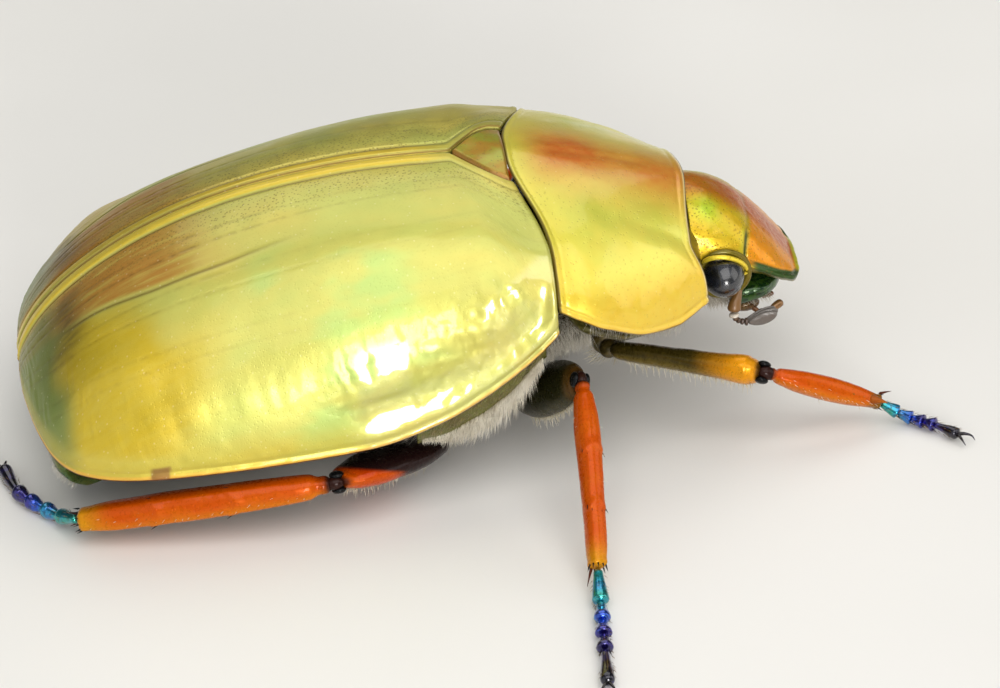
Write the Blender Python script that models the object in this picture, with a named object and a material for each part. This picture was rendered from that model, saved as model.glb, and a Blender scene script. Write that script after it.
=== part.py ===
"""A shining leaf chafer at life size, standing level on six feet with the head bowed.

X runs forward to the head, Y to the animal's left, Z up, and the feet stand at Z = 0.
The sizes below are in millimetres; the meshes are in metres.
"""

import math

import bmesh
import bpy
import numpy as np

MM = 0.001
MIDDLE_X = -1.245                  # the middle of the whole length, feet included: the origin is put under it

# ---- wing cases -----------------------------------------------------------
X_APEX, Z_APEX = -16.72, 3.95      # tip where the two wing cases end together
X_PEAK, Z_PEAK = -3.6, 10.10       # highest place of the back
X_HUM = 1.62                       # front outer corner
W_HUM, W_MAX = 6.30, 7.30          # half width at the shoulder and at its widest
S_MAX = 0.62                       # share of the length where it is widest
X_SCUT_TIP, SCUT_W = -1.27, 1.80   # hind tip and half width of the scutellum
SEAM = 0.04                        # half of the gap along the seam
SHELL = 0.62                       # thickness of a wing case
SHOULDER_DROP = 0.75               # how far the shoulders fall towards the base

# ---- pronotum and head ----------------------------------------------------
PRO_BASE_Z, PRO_FRONT_Z = 9.90, 8.20
PRO_CROWN = 0.22                   # how far its middle bulges over the chord
HEAD_X0, HEAD_X1 = 6.35, 10.54     # back of the head, front of the clypeus
HEAD_W = 2.22
EYE = (7.70, 2.16, 5.27)           # middle of the right eye's flat inner face, Y negated
EYE_R, EYE_OUT = 0.74, 1.08

# ---- trunk ----------------------------------------------------------------
GAP = 0.07                         # clearance between parts that meet
BELLY_Z = 0.78

# ---- legs: hip, knee, ankle and the foot's path, right side has Y negative -
RIGHT_FORE = dict(hip=(3.55, -2.55, 2.95), knee=(8.70, -4.98, 2.80), ankle=(12.62, -4.62, 0.80),
                  foot=((13.55, -4.98, 0.30), (14.35, -5.60, 0.27), (15.05, -6.35, 0.27)))
RIGHT_MID = dict(hip=(0.35, -2.90, 1.62), knee=(2.20, -6.50, 4.42), ankle=(1.78, -12.42, 0.86),
                 foot=((1.71, -13.50, 0.30), (1.58, -15.20, 0.27), (1.36, -17.95, 0.27)))
RIGHT_HIND = dict(hip=(-2.60, -4.10, 1.04), knee=(-6.46, -7.30, 1.95), ankle=(-15.22, -6.05, 0.84),
                  foot=((-16.12, -4.66, 0.30), (-17.15, -3.30, 0.27), (-17.72, -1.50, 0.27)))
LEFT_FORE = dict(hip=(3.55, 2.55, 2.95), knee=(6.35, 6.95, 3.05), ankle=(7.55, 10.55, 0.80),
                 foot=((7.65, 11.50, 0.30), (7.40, 12.40, 0.27), (7.05, 13.20, 0.27)))
LEFT_MID = dict(hip=(0.35, 2.90, 1.62), knee=(1.70, 7.00, 4.35), ankle=(-0.70, 12.65, 0.86),
                foot=((-1.20, 13.65, 0.30), (-1.95, 15.50, 0.27), (-2.75, 18.02, 0.27)))
LEFT_HIND = dict(hip=(-2.60, 4.10, 1.04), knee=(-5.20, 8.30, 2.10), ankle=(-9.60, 14.60, 0.84),
                 foot=((-10.90, 15.05, 0.30), (-12.20, 15.00, 0.27), (-13.25, 14.65, 0.27)))


def clamp(v, lo=0.0, hi=1.0):
    return np.minimum(np.maximum(v, lo), hi)


def smooth(v):
    v = clamp(v)
    return v * v * (3 - 2 * v)


def along(t, stops):
    """a smooth value at t from a few (t, value) stops"""
    ts, vs = zip(*stops)
    t = np.asarray(t, float)
    k = clamp(np.searchsorted(ts, t, side="right") - 1, 0, len(ts) - 2).astype(int)
    a, b = np.take(ts, k), np.take(ts, k + 1)
    f = smooth((t - a) / (b - a)) * 0.5 + clamp((t - a) / (b - a)) * 0.5
    return np.take(vs, k) * (1 - f) + np.take(vs, k + 1) * f


# ---- surface of the wing cases ---------------------------------------------
def suture_z(x):
    t = clamp((X_PEAK - x) / (X_PEAK - X_APEX))
    back = Z_APEX + (Z_PEAK - Z_APEX) * (1 - t ** 2.08) ** 0.64
    front = Z_PEAK - 0.0095 * (x - X_PEAK) ** 2
    return np.where(x < X_PEAK, back, front)


def margin_z(x):
    z = 2.78 + 0.028 * (x + 12.9) + 3.0 * clamp((x + 6.6) / 8.2) ** 2.4
    return z + (Z_APEX - 2.67) * clamp((-14.6 - x) / 2.12) ** 3


def half_width(x):
    s = clamp((X_HUM - x) / (X_HUM - X_APEX))
    return (W_HUM + (W_MAX - W_HUM) * np.sin(clamp(s / S_MAX) * math.pi / 2)) * (1 - s ** 10) ** 0.38


def section_power(x):
    s = clamp((X_HUM - x) / (X_HUM - X_APEX))
    return 2.1 + 1.75 * (1 - smooth(s / 0.62)) - 0.25 * smooth((s - 0.75) / 0.25)


def base_x(y):
    """the curve where the pronotum ends and the wing cases begin"""
    return 0.62 + 1.0 * smooth((np.abs(y) - 0.6) / 4.6)


def inner_edge(x):
    """how far the scutellum pushes the inner edge out from the seam"""
    f = clamp((x - X_SCUT_TIP) / (0.75 - X_SCUT_TIP))
    return SEAM + SCUT_W * np.sin(f * math.pi / 2) ** 1.1


def back_z(x, y):
    r = clamp(np.abs(y) / np.maximum(half_width(x), 1e-6))
    dome = margin_z(x) + (suture_z(x) - margin_z(x)) * np.sqrt(1 - r ** section_power(x))
    return dome - SHOULDER_DROP * smooth((x + 0.9) / 2.5) * np.sin(r * math.pi) ** 2


def wing_case_point(u, v):
    """left wing case: u runs from the base to the tip, v from the seam to the side edge"""
    u, v = np.asarray(u, float), np.asarray(v, float)
    g = np.sin(u * math.pi / 2) ** 1.1
    x = X_HUM + (X_APEX - X_HUM) * g
    for _ in range(5):
        w = half_width(x)
        t0 = np.arcsin(clamp(np.minimum(inner_edge(x), w * 0.98) / np.maximum(w, 1e-6))) / (math.pi / 2)
        y = w * np.sin((v + (1 - v) ** 3 * t0) * math.pi / 2)
        xb = base_x(y) - GAP
        x = xb + (X_APEX - xb) * g
    return np.stack([x, y, back_z(x, y)], -1)


# ---- building ---------------------------------------------------------------
def clear():
    for obj in list(bpy.data.objects):
        bpy.data.objects.remove(obj, do_unlink=True)


def material(name, colour, roughness, metallic=0.0):
    mat = bpy.data.materials.new(name)
    mat.use_nodes = True
    shader = mat.node_tree.nodes["Principled BSDF"]
    shader.inputs["Base Color"].default_value = (*colour, 1.0)
    shader.inputs["Roughness"].default_value = roughness
    shader.inputs["Metallic"].default_value = metallic
    mat.diffuse_color = (*colour, 1.0)
    return mat


def solid(name, points, faces, mat):
    mesh = bpy.data.meshes.new(name)
    mesh.from_pydata([((float(x) - MIDDLE_X) * MM, float(y) * MM, float(z) * MM) for x, y, z in points], [], faces)
    bm = bmesh.new()
    bm.from_mesh(mesh)
    bmesh.ops.remove_doubles(bm, verts=bm.verts, dist=2e-6)
    bmesh.ops.triangulate(bm, faces=bm.faces)
    bmesh.ops.dissolve_degenerate(bm, edges=bm.edges, dist=1e-6)
    bmesh.ops.recalc_face_normals(bm, faces=bm.faces)
    if bm.calc_volume(signed=True) < 0:
        bmesh.ops.reverse_faces(bm, faces=bm.faces)
    bm.to_mesh(mesh)
    bm.free()
    for polygon in mesh.polygons:
        polygon.use_smooth = True
    mesh.materials.append(mat)
    obj = bpy.data.objects.new(name, mesh)
    bpy.context.scene.collection.objects.link(obj)
    return obj


def ring_faces(count, size):
    faces = []
    for i in range(count - 1):
        for j in range(size):
            k = (j + 1) % size
            faces.append((i * size + j, i * size + k, (i + 1) * size + k, (i + 1) * size + j))
    return faces


def loft(name, rings, mat, tips=(0.0, 0.0)):
    """closed rings in a row; each end is closed by a fan whose middle may stand out a little"""
    rings = [np.asarray(r, float) for r in rings]
    size = len(rings[0])
    points = [p for ring in rings for p in ring]
    faces = ring_faces(len(rings), size)
    for end, (near, far, out) in enumerate(((0, 1, tips[0]), (-1, -2, tips[1]))):
        middle = rings[near].mean(0)
        way = middle - rings[far].mean(0)
        middle = middle + way / max(np.linalg.norm(way), 1e-9) * out
        points.append(middle)
        start = 0 if near == 0 else (len(rings) - 1) * size
        for j in range(size):
            faces.append((start + j, start + (j + 1) % size, len(points) - 1))
    return solid(name, points, faces, mat)


def unit(v):
    v = np.asarray(v, float)
    return v / max(np.linalg.norm(v), 1e-9)


def tube_rings(path, wide, thick, broad, sides, floor=None):
    """rings round a path; `broad` points along the wider radius"""
    path = np.asarray(path, float)
    rings = []
    for i, centre in enumerate(path):
        tangent = unit(path[min(i + 1, len(path) - 1)] - path[max(i - 1, 0)])
        a = unit(np.asarray(broad, float) - np.dot(broad, tangent) * tangent)
        b = np.cross(tangent, a)
        ring = []
        for k in range(sides):
            f = 2 * math.pi * (k + 0.5) / sides
            p = centre + a * wide[i] * math.cos(f) + b * thick[i] * math.sin(f)
            if floor is not None:
                p[2] = max(p[2], floor)
            ring.append(p)
        rings.append(ring)
    return rings


def straight(a, b, stops):
    a, b = np.asarray(a, float), np.asarray(b, float)
    return [a + (b - a) * s for s in stops]


clear()
LIVERY = dict(
    wing_case=material("wing_case_green_gold", (0.52, 0.56, 0.06), 0.26, 0.55),
    pronotum=material("pronotum_green_gold", (0.60, 0.52, 0.04), 0.22, 0.55),
    head=material("head_green_gold", (0.60, 0.46, 0.03), 0.22, 0.55),
    scutellum=material("scutellum_green_gold", (0.55, 0.52, 0.05), 0.25, 0.55),
    eye=material("eye_black", (0.012, 0.012, 0.014), 0.12),
    feeler=material("feeler_grey_brown", (0.16, 0.13, 0.10), 0.40),
    mouth=material("mouthparts_dark_green", (0.03, 0.09, 0.03), 0.30, 0.5),
    breast=material("breast_olive", (0.13, 0.14, 0.05), 0.38, 0.45),
    belly=material("belly_dark_olive", (0.07, 0.09, 0.04), 0.36, 0.45),
    pygidium=material("pygidium_olive_green", (0.09, 0.13, 0.04), 0.34, 0.5),
    coxa=material("coxa_dark_olive", (0.07, 0.08, 0.03), 0.35, 0.4),
    femur=material("femur_olive_gold", (0.24, 0.21, 0.03), 0.28, 0.5),
    femur_hind=material("femur_hind_orange", (0.60, 0.20, 0.02), 0.28, 0.35),
    tibia=material("tibia_orange_red", (0.72, 0.10, 0.01), 0.24, 0.35),
    tarsus=material("tarsus_blue_black", (0.01, 0.03, 0.07), 0.22, 0.6),
)


# ---- wing cases ---------------------------------------------------------------
def wing_case(name, side):
    rows, cols = 22, 14
    us = (np.arange(rows + 1) / rows) ** 0.92
    vs = np.arange(cols + 1) / cols
    grid_u, grid_v = np.meshgrid(us, vs, indexing="ij")
    outer = wing_case_point(grid_u, grid_v)
    x, y, z = outer[..., 0], outer[..., 1], outer[..., 2]
    # the inner face: the same shell drawn in towards the middle of its own section
    w = np.maximum(half_width(x), 1e-6)
    thin = SHELL * clamp((1 - grid_u) / 0.12) ** 0.5
    normal = np.stack([np.zeros_like(x), y / w * 1.0, np.sqrt(clamp(1 - (y / w) ** 2)) + 0.05], -1)
    back = smooth((-12.0 - x) / 4.5)
    normal[..., 0] = -back * 0.9
    normal /= np.linalg.norm(normal, axis=-1, keepdims=True)
    inner = outer - normal * (thin * 0.98)[..., None]
    inner[..., 1] = np.maximum(inner[..., 1], SEAM)
    inner[:, 0, 1] = outer[:, 0, 1]
    inner[:, -1, 2] = outer[:, -1, 2] + 0.05
    pole_out, pole_in = outer[-1, 0].copy(), outer[-1, 0] + np.array([0.45, 0.0, 0.10])
    pole_out[1] = pole_in[1] = SEAM
    points = [p for row in outer[:-1] for p in row] + [p for row in inner[:-1] for p in row]
    points += [pole_out, pole_in]
    wide = cols + 1
    half = rows * wide
    faces = []
    for i in range(rows - 1):
        for j in range(cols):
            a, b, c, d = i * wide + j, i * wide + j + 1, (i + 1) * wide + j + 1, (i + 1) * wide + j
            faces += [(a, b, c, d), (half + a, half + d, half + c, half + b)]
    for j in range(cols):                                   # base edge, and the two tips
        faces.append((j, half + j, half + j + 1, j + 1))
        last = (rows - 1) * wide + j
        faces += [(last, last + 1, 2 * half), (half + last + 1, half + last, 2 * half + 1)]
    for i in range(rows - 1):                               # seam and side edge
        a, b = i * wide, (i + 1) * wide
        faces.append((a, b, half + b, half + a))
        a, b = a + cols, b + cols
        faces.append((b, a, half + a, half + b))
    last = (rows - 1) * wide
    faces.append((last, 2 * half, 2 * half + 1, half + last))
    faces.append((2 * half, last + cols, half + last + cols, 2 * half + 1))
    points = np.array(points)
    points[:, 1] *= side
    return solid(name, points, faces, LIVERY["wing_case"])


wing_case("wing_case_right", -1)
wing_case("wing_case_left", 1)


# ---- scutellum: a rounded triangle let in between the wing cases -------------------
def scutellum():
    rings = []
    for f in (0.06, 0.22, 0.42, 0.64, 0.84, 1.0):
        x = X_SCUT_TIP + (0.62 - GAP - X_SCUT_TIP) * f + 0.10
        w = max(inner_edge(x) - SEAM - 2.2 * GAP, 0.09)
        ring = []
        for k in range(7):
            y = w * (k / 3 - 1)
            ring.append((x, y, float(back_z(x, y)) + 0.05 - 0.06 * (y / w) ** 2))
        for k in range(7):
            y = w * (1 - k / 3) * 0.9
            ring.append((x, y, float(back_z(x, y)) - 0.42))
        rings.append(ring)
    loft("scutellum", rings, LIVERY["scutellum"])


scutellum()


# ---- pronotum -------------------------------------------------------------------
def pro_half_width(t):
    return along(t, ((0, 6.20), (0.25, 6.22), (0.52, 5.72), (0.78, 4.86), (1, 3.92)))


def pro_margin_z(t):
    return along(t, ((0, 7.00), (0.12, 6.62), (0.30, 6.12), (0.52, 5.45), (0.78, 5.10), (1, 5.28)))


def pro_x(t, y):
    back = base_x(y) + GAP
    front = 6.55 + 0.24 * np.exp(-(y / 1.7) ** 2) + 0.42 * smooth((np.abs(y) - 3.0) / 0.95)
    return back + (front - back) * t


def pro_z(t, y):
    top = PRO_BASE_Z + (PRO_FRONT_Z - PRO_BASE_Z) * t + PRO_CROWN * 4 * t * (1 - t) * (1 - 0.15 * t)
    r = clamp(np.abs(y) / pro_half_width(t))
    n, p = 1.75 + 0.40 * t, 0.58 - 0.08 * t
    return pro_margin_z(t) + (top - pro_margin_z(t)) * (1 - r ** n) ** p


def pronotum():
    rings = []
    for t in np.arange(13) / 12:
        w = float(pro_half_width(t))
        arc = [w * math.sin((k / 10 - 1) * math.pi / 2) for k in range(21)]
        ring = [(float(pro_x(t, y)), y, float(pro_z(t, y))) for y in arc]
        low = float(pro_margin_z(t)) - 0.30
        for k in range(11):
            y = w * (1 - k / 5) * 0.965
            ring.append((float(pro_x(t, y)), y, low - 0.12 * (1 - (y / w) ** 2)))
        rings.append(ring)
    loft("pronotum", rings, LIVERY["pronotum"], tips=(0.0, -0.45))


pronotum()


def prosternum():
    rings = []
    for t, f, deep in ((0.18, 0.62, 4.0), (0.26, 0.78, 3.65), (0.45, 0.84, 3.60), (0.68, 0.80, 3.62), (0.88, 0.66, 3.85), (0.98, 0.50, 4.2)):
        w = float(pro_half_width(t)) * f
        top = float(pro_margin_z(t)) - 0.50 - GAP
        x = float(pro_x(t, 0.0)) + 0.10
        ring = [(x, w * (k / 4 - 1), top) for k in range(9)]
        for k in range(9):
            y = w * (1 - k / 4)
            ring.append((x, y * 0.96, deep + (top - 0.35 - deep) * abs(y / w) ** 1.9))
        rings.append(ring)
    loft("prosternum", rings, LIVERY["breast"])


prosternum()


# ---- head -------------------------------------------------------------------------
def head_top(x):
    return along((x - HEAD_X0) / (HEAD_X1 - HEAD_X0),
                 ((0, 7.86), (0.28, 7.62), (0.52, 6.94), (0.74, 5.88), (0.90, 4.94), (1, 4.34)))


def head_edge(x):
    return along((x - HEAD_X0) / (HEAD_X1 - HEAD_X0),
                 ((0, 5.60), (0.28, 5.62), (0.52, 5.40), (0.74, 4.86), (0.90, 4.44), (1, 4.18)))


def head_half_width(x):
    return along((x - HEAD_X0) / (HEAD_X1 - HEAD_X0),
                 ((0, HEAD_W), (0.5, HEAD_W), (0.66, 2.12), (0.86, 1.86), (0.96, 1.42), (1, 0.80)))


def head():
    rings = []
    for f in (0.0, 0.12, 0.26, 0.40, 0.52, 0.62, 0.72, 0.81, 0.89, 0.95, 0.985, 1.0):
        x = HEAD_X0 + 0.50 + (HEAD_X1 - HEAD_X0 - 0.50) * f
        w, top, edge = float(head_half_width(x)), float(head_top(x)), float(head_edge(x))
        ring = [(x, w * math.sin((k / 7 - 1) * math.pi / 2),
                 edge + (top - edge) * (1 - abs(math.sin((k / 7 - 1) * math.pi / 2)) ** 2.4) ** 0.55) for k in range(15)]
        low = float(along(f, ((0, 4.35), (0.30, 4.25), (0.55, 4.35), (0.62, 4.72), (0.80, 4.42), (1, 4.06))))
        for k in range(9):
            y = w * (1 - k / 4) * 0.94
            ring.append((x, y, min(low + (edge - 0.22 - low) * abs(y / w) ** 2.2, edge - 0.12)))
        rings.append(ring)
    loft("head", rings, LIVERY["head"])


head()


def mouthparts():
    rings = []
    for f, w, top, low in ((0.0, 1.25, 4.12, 3.55), (0.2, 1.62, 4.15, 3.15), (0.45, 1.70, 4.18, 2.98), (0.7, 1.55, 4.20, 3.05),
                           (0.88, 1.22, 4.20, 3.32), (1.0, 0.80, 4.10, 3.58)):
        x = 7.55 + 2.45 * f
        ring = [(x, w * (k / 3 - 1), top - GAP) for k in range(7)]
        ring += [(x, w * (1 - k / 3) * 0.97, low + (top - 0.4 - low) * abs(1 - k / 3) ** 2) for k in range(7)]
        rings.append(ring)
    loft("mouthparts", rings, LIVERY["mouth"], tips=(0.1, 0.1))


mouthparts()


def eye(name, side):
    rings = []
    for f in (0.0, 0.30, 0.58, 0.80, 0.94):
        out, r = EYE_OUT * f, EYE_R * math.sqrt(1 - (f * 0.985) ** 2)
        rings.append([(EYE[0] + r * math.cos(2 * math.pi * k / 14),
                       side * (EYE[1] + GAP + out), EYE[2] + r * 1.04 * math.sin(2 * math.pi * k / 14)) for k in range(14)])
    loft(name, rings, LIVERY["eye"], tips=(0.0, 0.055))


eye("eye_right", -1)
eye("eye_left", 1)


# ---- feelers: a stalk under the eye that ends in a leafed club -----------------------
def feeler(name, side):
    path = [(8.18, 2.36, 4.42), (8.02, 2.52, 4.14), (7.96, 2.60, 3.84), (8.10, 2.60, 3.58),
            (8.34, 2.60, 3.44), (8.66, 2.58, 3.44), (9.06, 2.54, 3.56), (9.42, 2.48, 3.70)]
    wide = [0.27, 0.28, 0.28, 0.26, 0.30, 0.42, 0.46, 0.30]
    thick = [0.27, 0.28, 0.28, 0.26, 0.28, 0.33, 0.34, 0.27]
    rings = tube_rings(path, wide, thick, (0, 0, 1), 10)
    rings = [[(p[0], p[1] * side, p[2]) for p in ring] for ring in rings]
    loft(name, rings, LIVERY["feeler"], tips=(0.05, 0.14))


feeler("feeler_right", -1)
feeler("feeler_left", 1)


# ---- trunk below the wing cases --------------------------------------------------------
def trunk_ring(x, inset, crown, keel, side_z, power, wall=1.0, cols=8):
    """one ring: a dome inside the wing cases above, the breast or belly below"""
    w = float(half_width(x)) - inset
    top, edge = float(suture_z(x)) - crown, side_z
    n = float(section_power(x))
    ring = []
    for k in range(2 * cols + 1):
        y = w * math.sin((k / cols - 1) * math.pi / 2)
        ring.append((x, y, edge + (top - edge) * math.sqrt(max(1 - abs(y / w) ** n, 0.0))))
    for k in range(1, 2 * cols):
        y = w * math.cos(k / (2 * cols) * math.pi)
        ring.append((x, y, edge - 0.12 - (edge - 0.12 - keel) * (1 - abs(y / w) ** power) ** (1 / wall)))
    return ring


def abdomen():
    rings = []
    for x in (-3.62, -4.6, -6.2, -8.0, -9.8, -11.5, -13.0, -14.2, -15.0):
        keel = BELLY_Z + 0.9 * clamp((-9.5 - x) / 5.5) ** 2 + 0.72 * smooth((x + 6.4) / 2.8)
        rings.append(trunk_ring(x, 1.0, 1.0, float(keel), float(margin_z(x)) - 0.05, 1.75))
    loft("abdomen", rings, LIVERY["belly"])


abdomen()


def breast():
    rings = []
    # half width short of the wing case, fall of the dome, keel and fullness of the lower side
    for x, inset, crown, keel, power, wall in (
            (1.30, 2.30, 4.10, 3.70, 1.6, 1.0), (0.62, 1.35, 3.55, 2.95, 1.9, 1.1), (0.15, 1.05, 1.20, 2.50, 2.4, 1.3),
            (-0.35, 0.90, 1.05, 2.05, 2.8, 1.8), (-0.85, 0.80, 1.05, 1.15, 3.0, 2.5), (-1.40, 0.80, 1.05, 1.02, 3.0, 2.5),
            (-1.72, 0.84, 1.05, 1.50, 3.0, 2.2), (-2.70, 0.92, 1.05, 1.56, 2.8, 1.6), (-3.62 + GAP, 1.00, 1.05, 1.56, 2.6, 1.2)):
        edge = float(margin_z(x)) - 0.15
        rings.append(trunk_ring(x, inset, crown, keel, edge, power, wall))
    loft("breast", rings, LIVERY["breast"])


breast()


def pygidium():
    rings = []
    for f in np.arange(7) / 6:
        a = math.pi * (0.04 + 0.92 * f)
        y = -5.15 * math.cos(a)
        high = 2.52 + 0.48 * math.sin(a)
        low = 1.80 - 0.90 * math.sin(a) ** 0.8
        back = -15.30 - 0.72 * math.sin(a) ** 0.6
        rings.append([(back + 0.0, y, high), (back - 0.10, y, (high + low) / 2 + 0.2), (back + 0.25, y, (high + low) / 2 - 0.25),
                      (back + 0.72, y, low), (back + 1.22, y, low + 0.12), (min(back + 0.85, -15.0 - GAP - 0.02) if high > 2 else back, y, (high + low) / 2 - 0.2),
                      (min(back + 0.55, -15.0 - GAP), y, (high + low) / 2 + 0.25), (min(back + 0.55, -15.0 - GAP), y, high)])
    loft("pygidium", rings, LIVERY["pygidium"])


pygidium()


# ---- legs -----------------------------------------------------------------------------
FEMUR_STOPS = (0.0, 0.10, 0.28, 0.52, 0.76, 0.92, 1.0)
TIBIA_STOPS = (0.0, 0.07, 0.26, 0.50, 0.74, 0.92, 1.0)
LEG_SIZES = dict(   # femur: half widths; tibia: half widths at the stops; foot: half thickness
    fore=dict(femur=(0.38, 0.46, 0.50, 0.55, 0.63, 0.66, 0.46), flat=0.72, tibia=(0.27, 0.32, 0.46, 0.52, 0.46, 0.34, 0.27), tarsus=0.27, hip=(1.75, 0.62, 0.50), play=0.20),
    mid=dict(femur=(0.48, 0.66, 0.86, 0.92, 0.80, 0.58, 0.36), flat=0.66, tibia=(0.27, 0.36, 0.47, 0.45, 0.41, 0.38, 0.31), tarsus=0.30, hip=(2.10, 0.62, 0.44), play=0.20),
    hind=dict(femur=(0.60, 0.86, 1.14, 1.22, 1.06, 0.74, 0.44), flat=0.44, tibia=(0.33, 0.48, 0.60, 0.65, 0.64, 0.56, 0.42), tarsus=0.31, hip=(3.30, 0.82, 0.33), play=0.40),
)


def leg(kind, side_name, joints):
    size = LEG_SIZES[kind]
    hip, knee, ankle = (np.asarray(joints[k], float) for k in ("hip", "knee", "ankle"))
    name = f"{kind}_%s_{side_name}"
    thigh, shin = unit(knee - hip), unit(ankle - knee)
    bend = unit(np.cross(thigh, shin))
    # hip: a short block between the breast and the thigh
    reach, wide, thick = size["hip"]
    way = unit((0.0, np.sign(hip[1]), 0.0)) if kind == "hind" else unit((-0.10, np.sign(hip[1]), 0.06))
    inside = hip - way * reach
    path = straight(inside, hip - way * (size["play"] + GAP), (0.0, 0.35, 0.75, 1.0))
    loft(name % "coxa", tube_rings(path, [wide * f for f in (0.85, 1.0, 0.92, 0.70)], [thick * f for f in (0.85, 1.0, 0.95, 0.75)], (1, 0, 0), 10),
         LIVERY["coxa"], tips=(0.0, 0.02))
    # thigh, wide across the bend of the leg
    path = straight(hip + thigh * 0.02, knee - thigh * (0.16 + GAP), FEMUR_STOPS)
    wide = size["femur"]
    broad = np.cross(thigh, (0, 0, 1)) if kind == "hind" else np.cross(bend, thigh)
    if kind == "hind":
        broad = unit(broad) * -np.sign(hip[1]) + np.array((0.0, 0.0, -0.30))
    loft(name % "femur", tube_rings(path, wide, [max(w * size["flat"], 0.27) for w in wide], broad, 12),
         LIVERY["femur_hind" if kind == "hind" else "femur"], tips=(0.03, 0.07))
    # shin, narrow at the knee
    path = straight(knee + shin * 0.10, ankle, TIBIA_STOPS)
    wide = size["tibia"]
    loft(name % "tibia", tube_rings(path, wide, [max(w * 0.80, 0.26) for w in wide], np.cross(shin, bend), 12),
         LIVERY["tibia"], tips=(0.06, 0.0))
    # foot: five joints and the hooked claw, flat where it stands
    foot = [np.asarray(p, float) for p in joints["foot"]]
    start = ankle + unit(foot[0] - ankle) * (0.12 + GAP)
    bone = [start] + foot
    path, wide = [], []
    r = size["tarsus"]
    lengths = [np.linalg.norm(bone[i + 1] - bone[i]) for i in range(len(bone) - 1)]
    total = sum(lengths)
    knots = 12
    for k in range(knots + 1):
        d, i = total * k / knots, 0
        while i < len(lengths) - 1 and d > lengths[i]:
            d -= lengths[i]
            i += 1
        path.append(bone[i] + (bone[i + 1] - bone[i]) * min(d / lengths[i], 1.0))
        swell = 0.5 - 0.5 * math.cos(2 * math.pi * (k / knots * 5))
        wide.append(max(r * (0.93 + 0.16 * swell) * (1.0 if k < knots else 0.8), 0.25))
    end = unit(path[-1] - path[-2])
    path += [path[-1] + end * 0.30 + np.array((0, 0, 0.02)), path[-1] + end * 0.62 + np.array((0, 0, -0.01))]
    wide += [0.27, 0.25]
    for k in range(3, len(path)):
        path[k][2] = max(path[k][2], 0.0)
    loft(name % "tarsus", tube_rings(path, wide, [w * 0.97 for w in wide], np.cross(shin, (0, 0, 1)), 8, floor=0.0),
         LIVERY["tarsus"], tips=(0.0, 0.03))


leg("fore", "right", RIGHT_FORE)
leg("mid", "right", RIGHT_MID)
leg("hind", "right", RIGHT_HIND)
leg("fore", "left", LEFT_FORE)
leg("mid", "left", LEFT_MID)
leg("hind", "left", LEFT_HIND)
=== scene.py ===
import math

import bpy
import numpy as np
from mathutils import Matrix, Vector


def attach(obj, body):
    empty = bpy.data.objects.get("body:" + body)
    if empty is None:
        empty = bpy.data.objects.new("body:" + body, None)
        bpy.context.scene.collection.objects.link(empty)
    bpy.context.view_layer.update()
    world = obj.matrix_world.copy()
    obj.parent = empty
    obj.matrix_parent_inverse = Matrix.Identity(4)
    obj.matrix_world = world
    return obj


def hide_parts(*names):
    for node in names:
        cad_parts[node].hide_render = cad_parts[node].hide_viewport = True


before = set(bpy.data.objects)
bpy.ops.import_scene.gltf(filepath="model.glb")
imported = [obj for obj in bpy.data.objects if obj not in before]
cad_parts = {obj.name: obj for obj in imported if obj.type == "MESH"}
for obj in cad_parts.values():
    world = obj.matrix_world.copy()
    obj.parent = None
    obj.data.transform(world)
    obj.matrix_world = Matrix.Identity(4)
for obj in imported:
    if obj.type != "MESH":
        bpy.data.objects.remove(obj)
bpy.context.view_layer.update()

# The shapes are worked out in millimetres, with the same sizes and functions as part.py.
MM = 0.001
MIDDLE_X = -1.245

X_APEX, Z_APEX = -16.72, 3.95
X_PEAK, Z_PEAK = -3.6, 10.10
X_HUM = 1.62
W_HUM, W_MAX = 6.30, 7.30
S_MAX = 0.62
X_SCUT_TIP, SCUT_W = -1.27, 1.80
SEAM = 0.04
SHOULDER_DROP = 0.75
PRO_BASE_Z, PRO_FRONT_Z = 9.90, 8.20
PRO_CROWN = 0.22
HEAD_X0, HEAD_X1 = 6.35, 10.54
HEAD_W = 2.22
EYE = (7.70, 2.16, 5.27)
GAP = 0.07
BELLY_Z = 0.78

RIGHT_FORE = dict(hip=(3.55, -2.55, 2.95), knee=(8.70, -4.98, 2.80), ankle=(12.62, -4.62, 0.80),
                  foot=((13.55, -4.98, 0.30), (14.35, -5.60, 0.27), (15.05, -6.35, 0.27)))
RIGHT_MID = dict(hip=(0.35, -2.90, 1.62), knee=(2.20, -6.50, 4.42), ankle=(1.78, -12.42, 0.86),
                 foot=((1.71, -13.50, 0.30), (1.58, -15.20, 0.27), (1.36, -17.95, 0.27)))
RIGHT_HIND = dict(hip=(-2.60, -4.10, 1.04), knee=(-6.46, -7.30, 1.95), ankle=(-15.22, -6.05, 0.84),
                  foot=((-16.12, -4.66, 0.30), (-17.15, -3.30, 0.27), (-17.72, -1.50, 0.27)))
LEFT_FORE = dict(hip=(3.55, 2.55, 2.95), knee=(6.35, 6.95, 3.05), ankle=(7.55, 10.55, 0.80),
                 foot=((7.65, 11.50, 0.30), (7.40, 12.40, 0.27), (7.05, 13.20, 0.27)))
LEFT_MID = dict(hip=(0.35, 2.90, 1.62), knee=(1.70, 7.00, 4.35), ankle=(-0.70, 12.65, 0.86),
                foot=((-1.20, 13.65, 0.30), (-1.95, 15.50, 0.27), (-2.75, 18.02, 0.27)))
LEFT_HIND = dict(hip=(-2.60, 4.10, 1.04), knee=(-5.20, 8.30, 2.10), ankle=(-9.60, 14.60, 0.84),
                 foot=((-10.90, 15.05, 0.30), (-12.20, 15.00, 0.27), (-13.25, 14.65, 0.27)))


def clamp(v, lo=0.0, hi=1.0):
    return np.minimum(np.maximum(v, lo), hi)


def smooth(v):
    v = clamp(v)
    return v * v * (3 - 2 * v)


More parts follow.
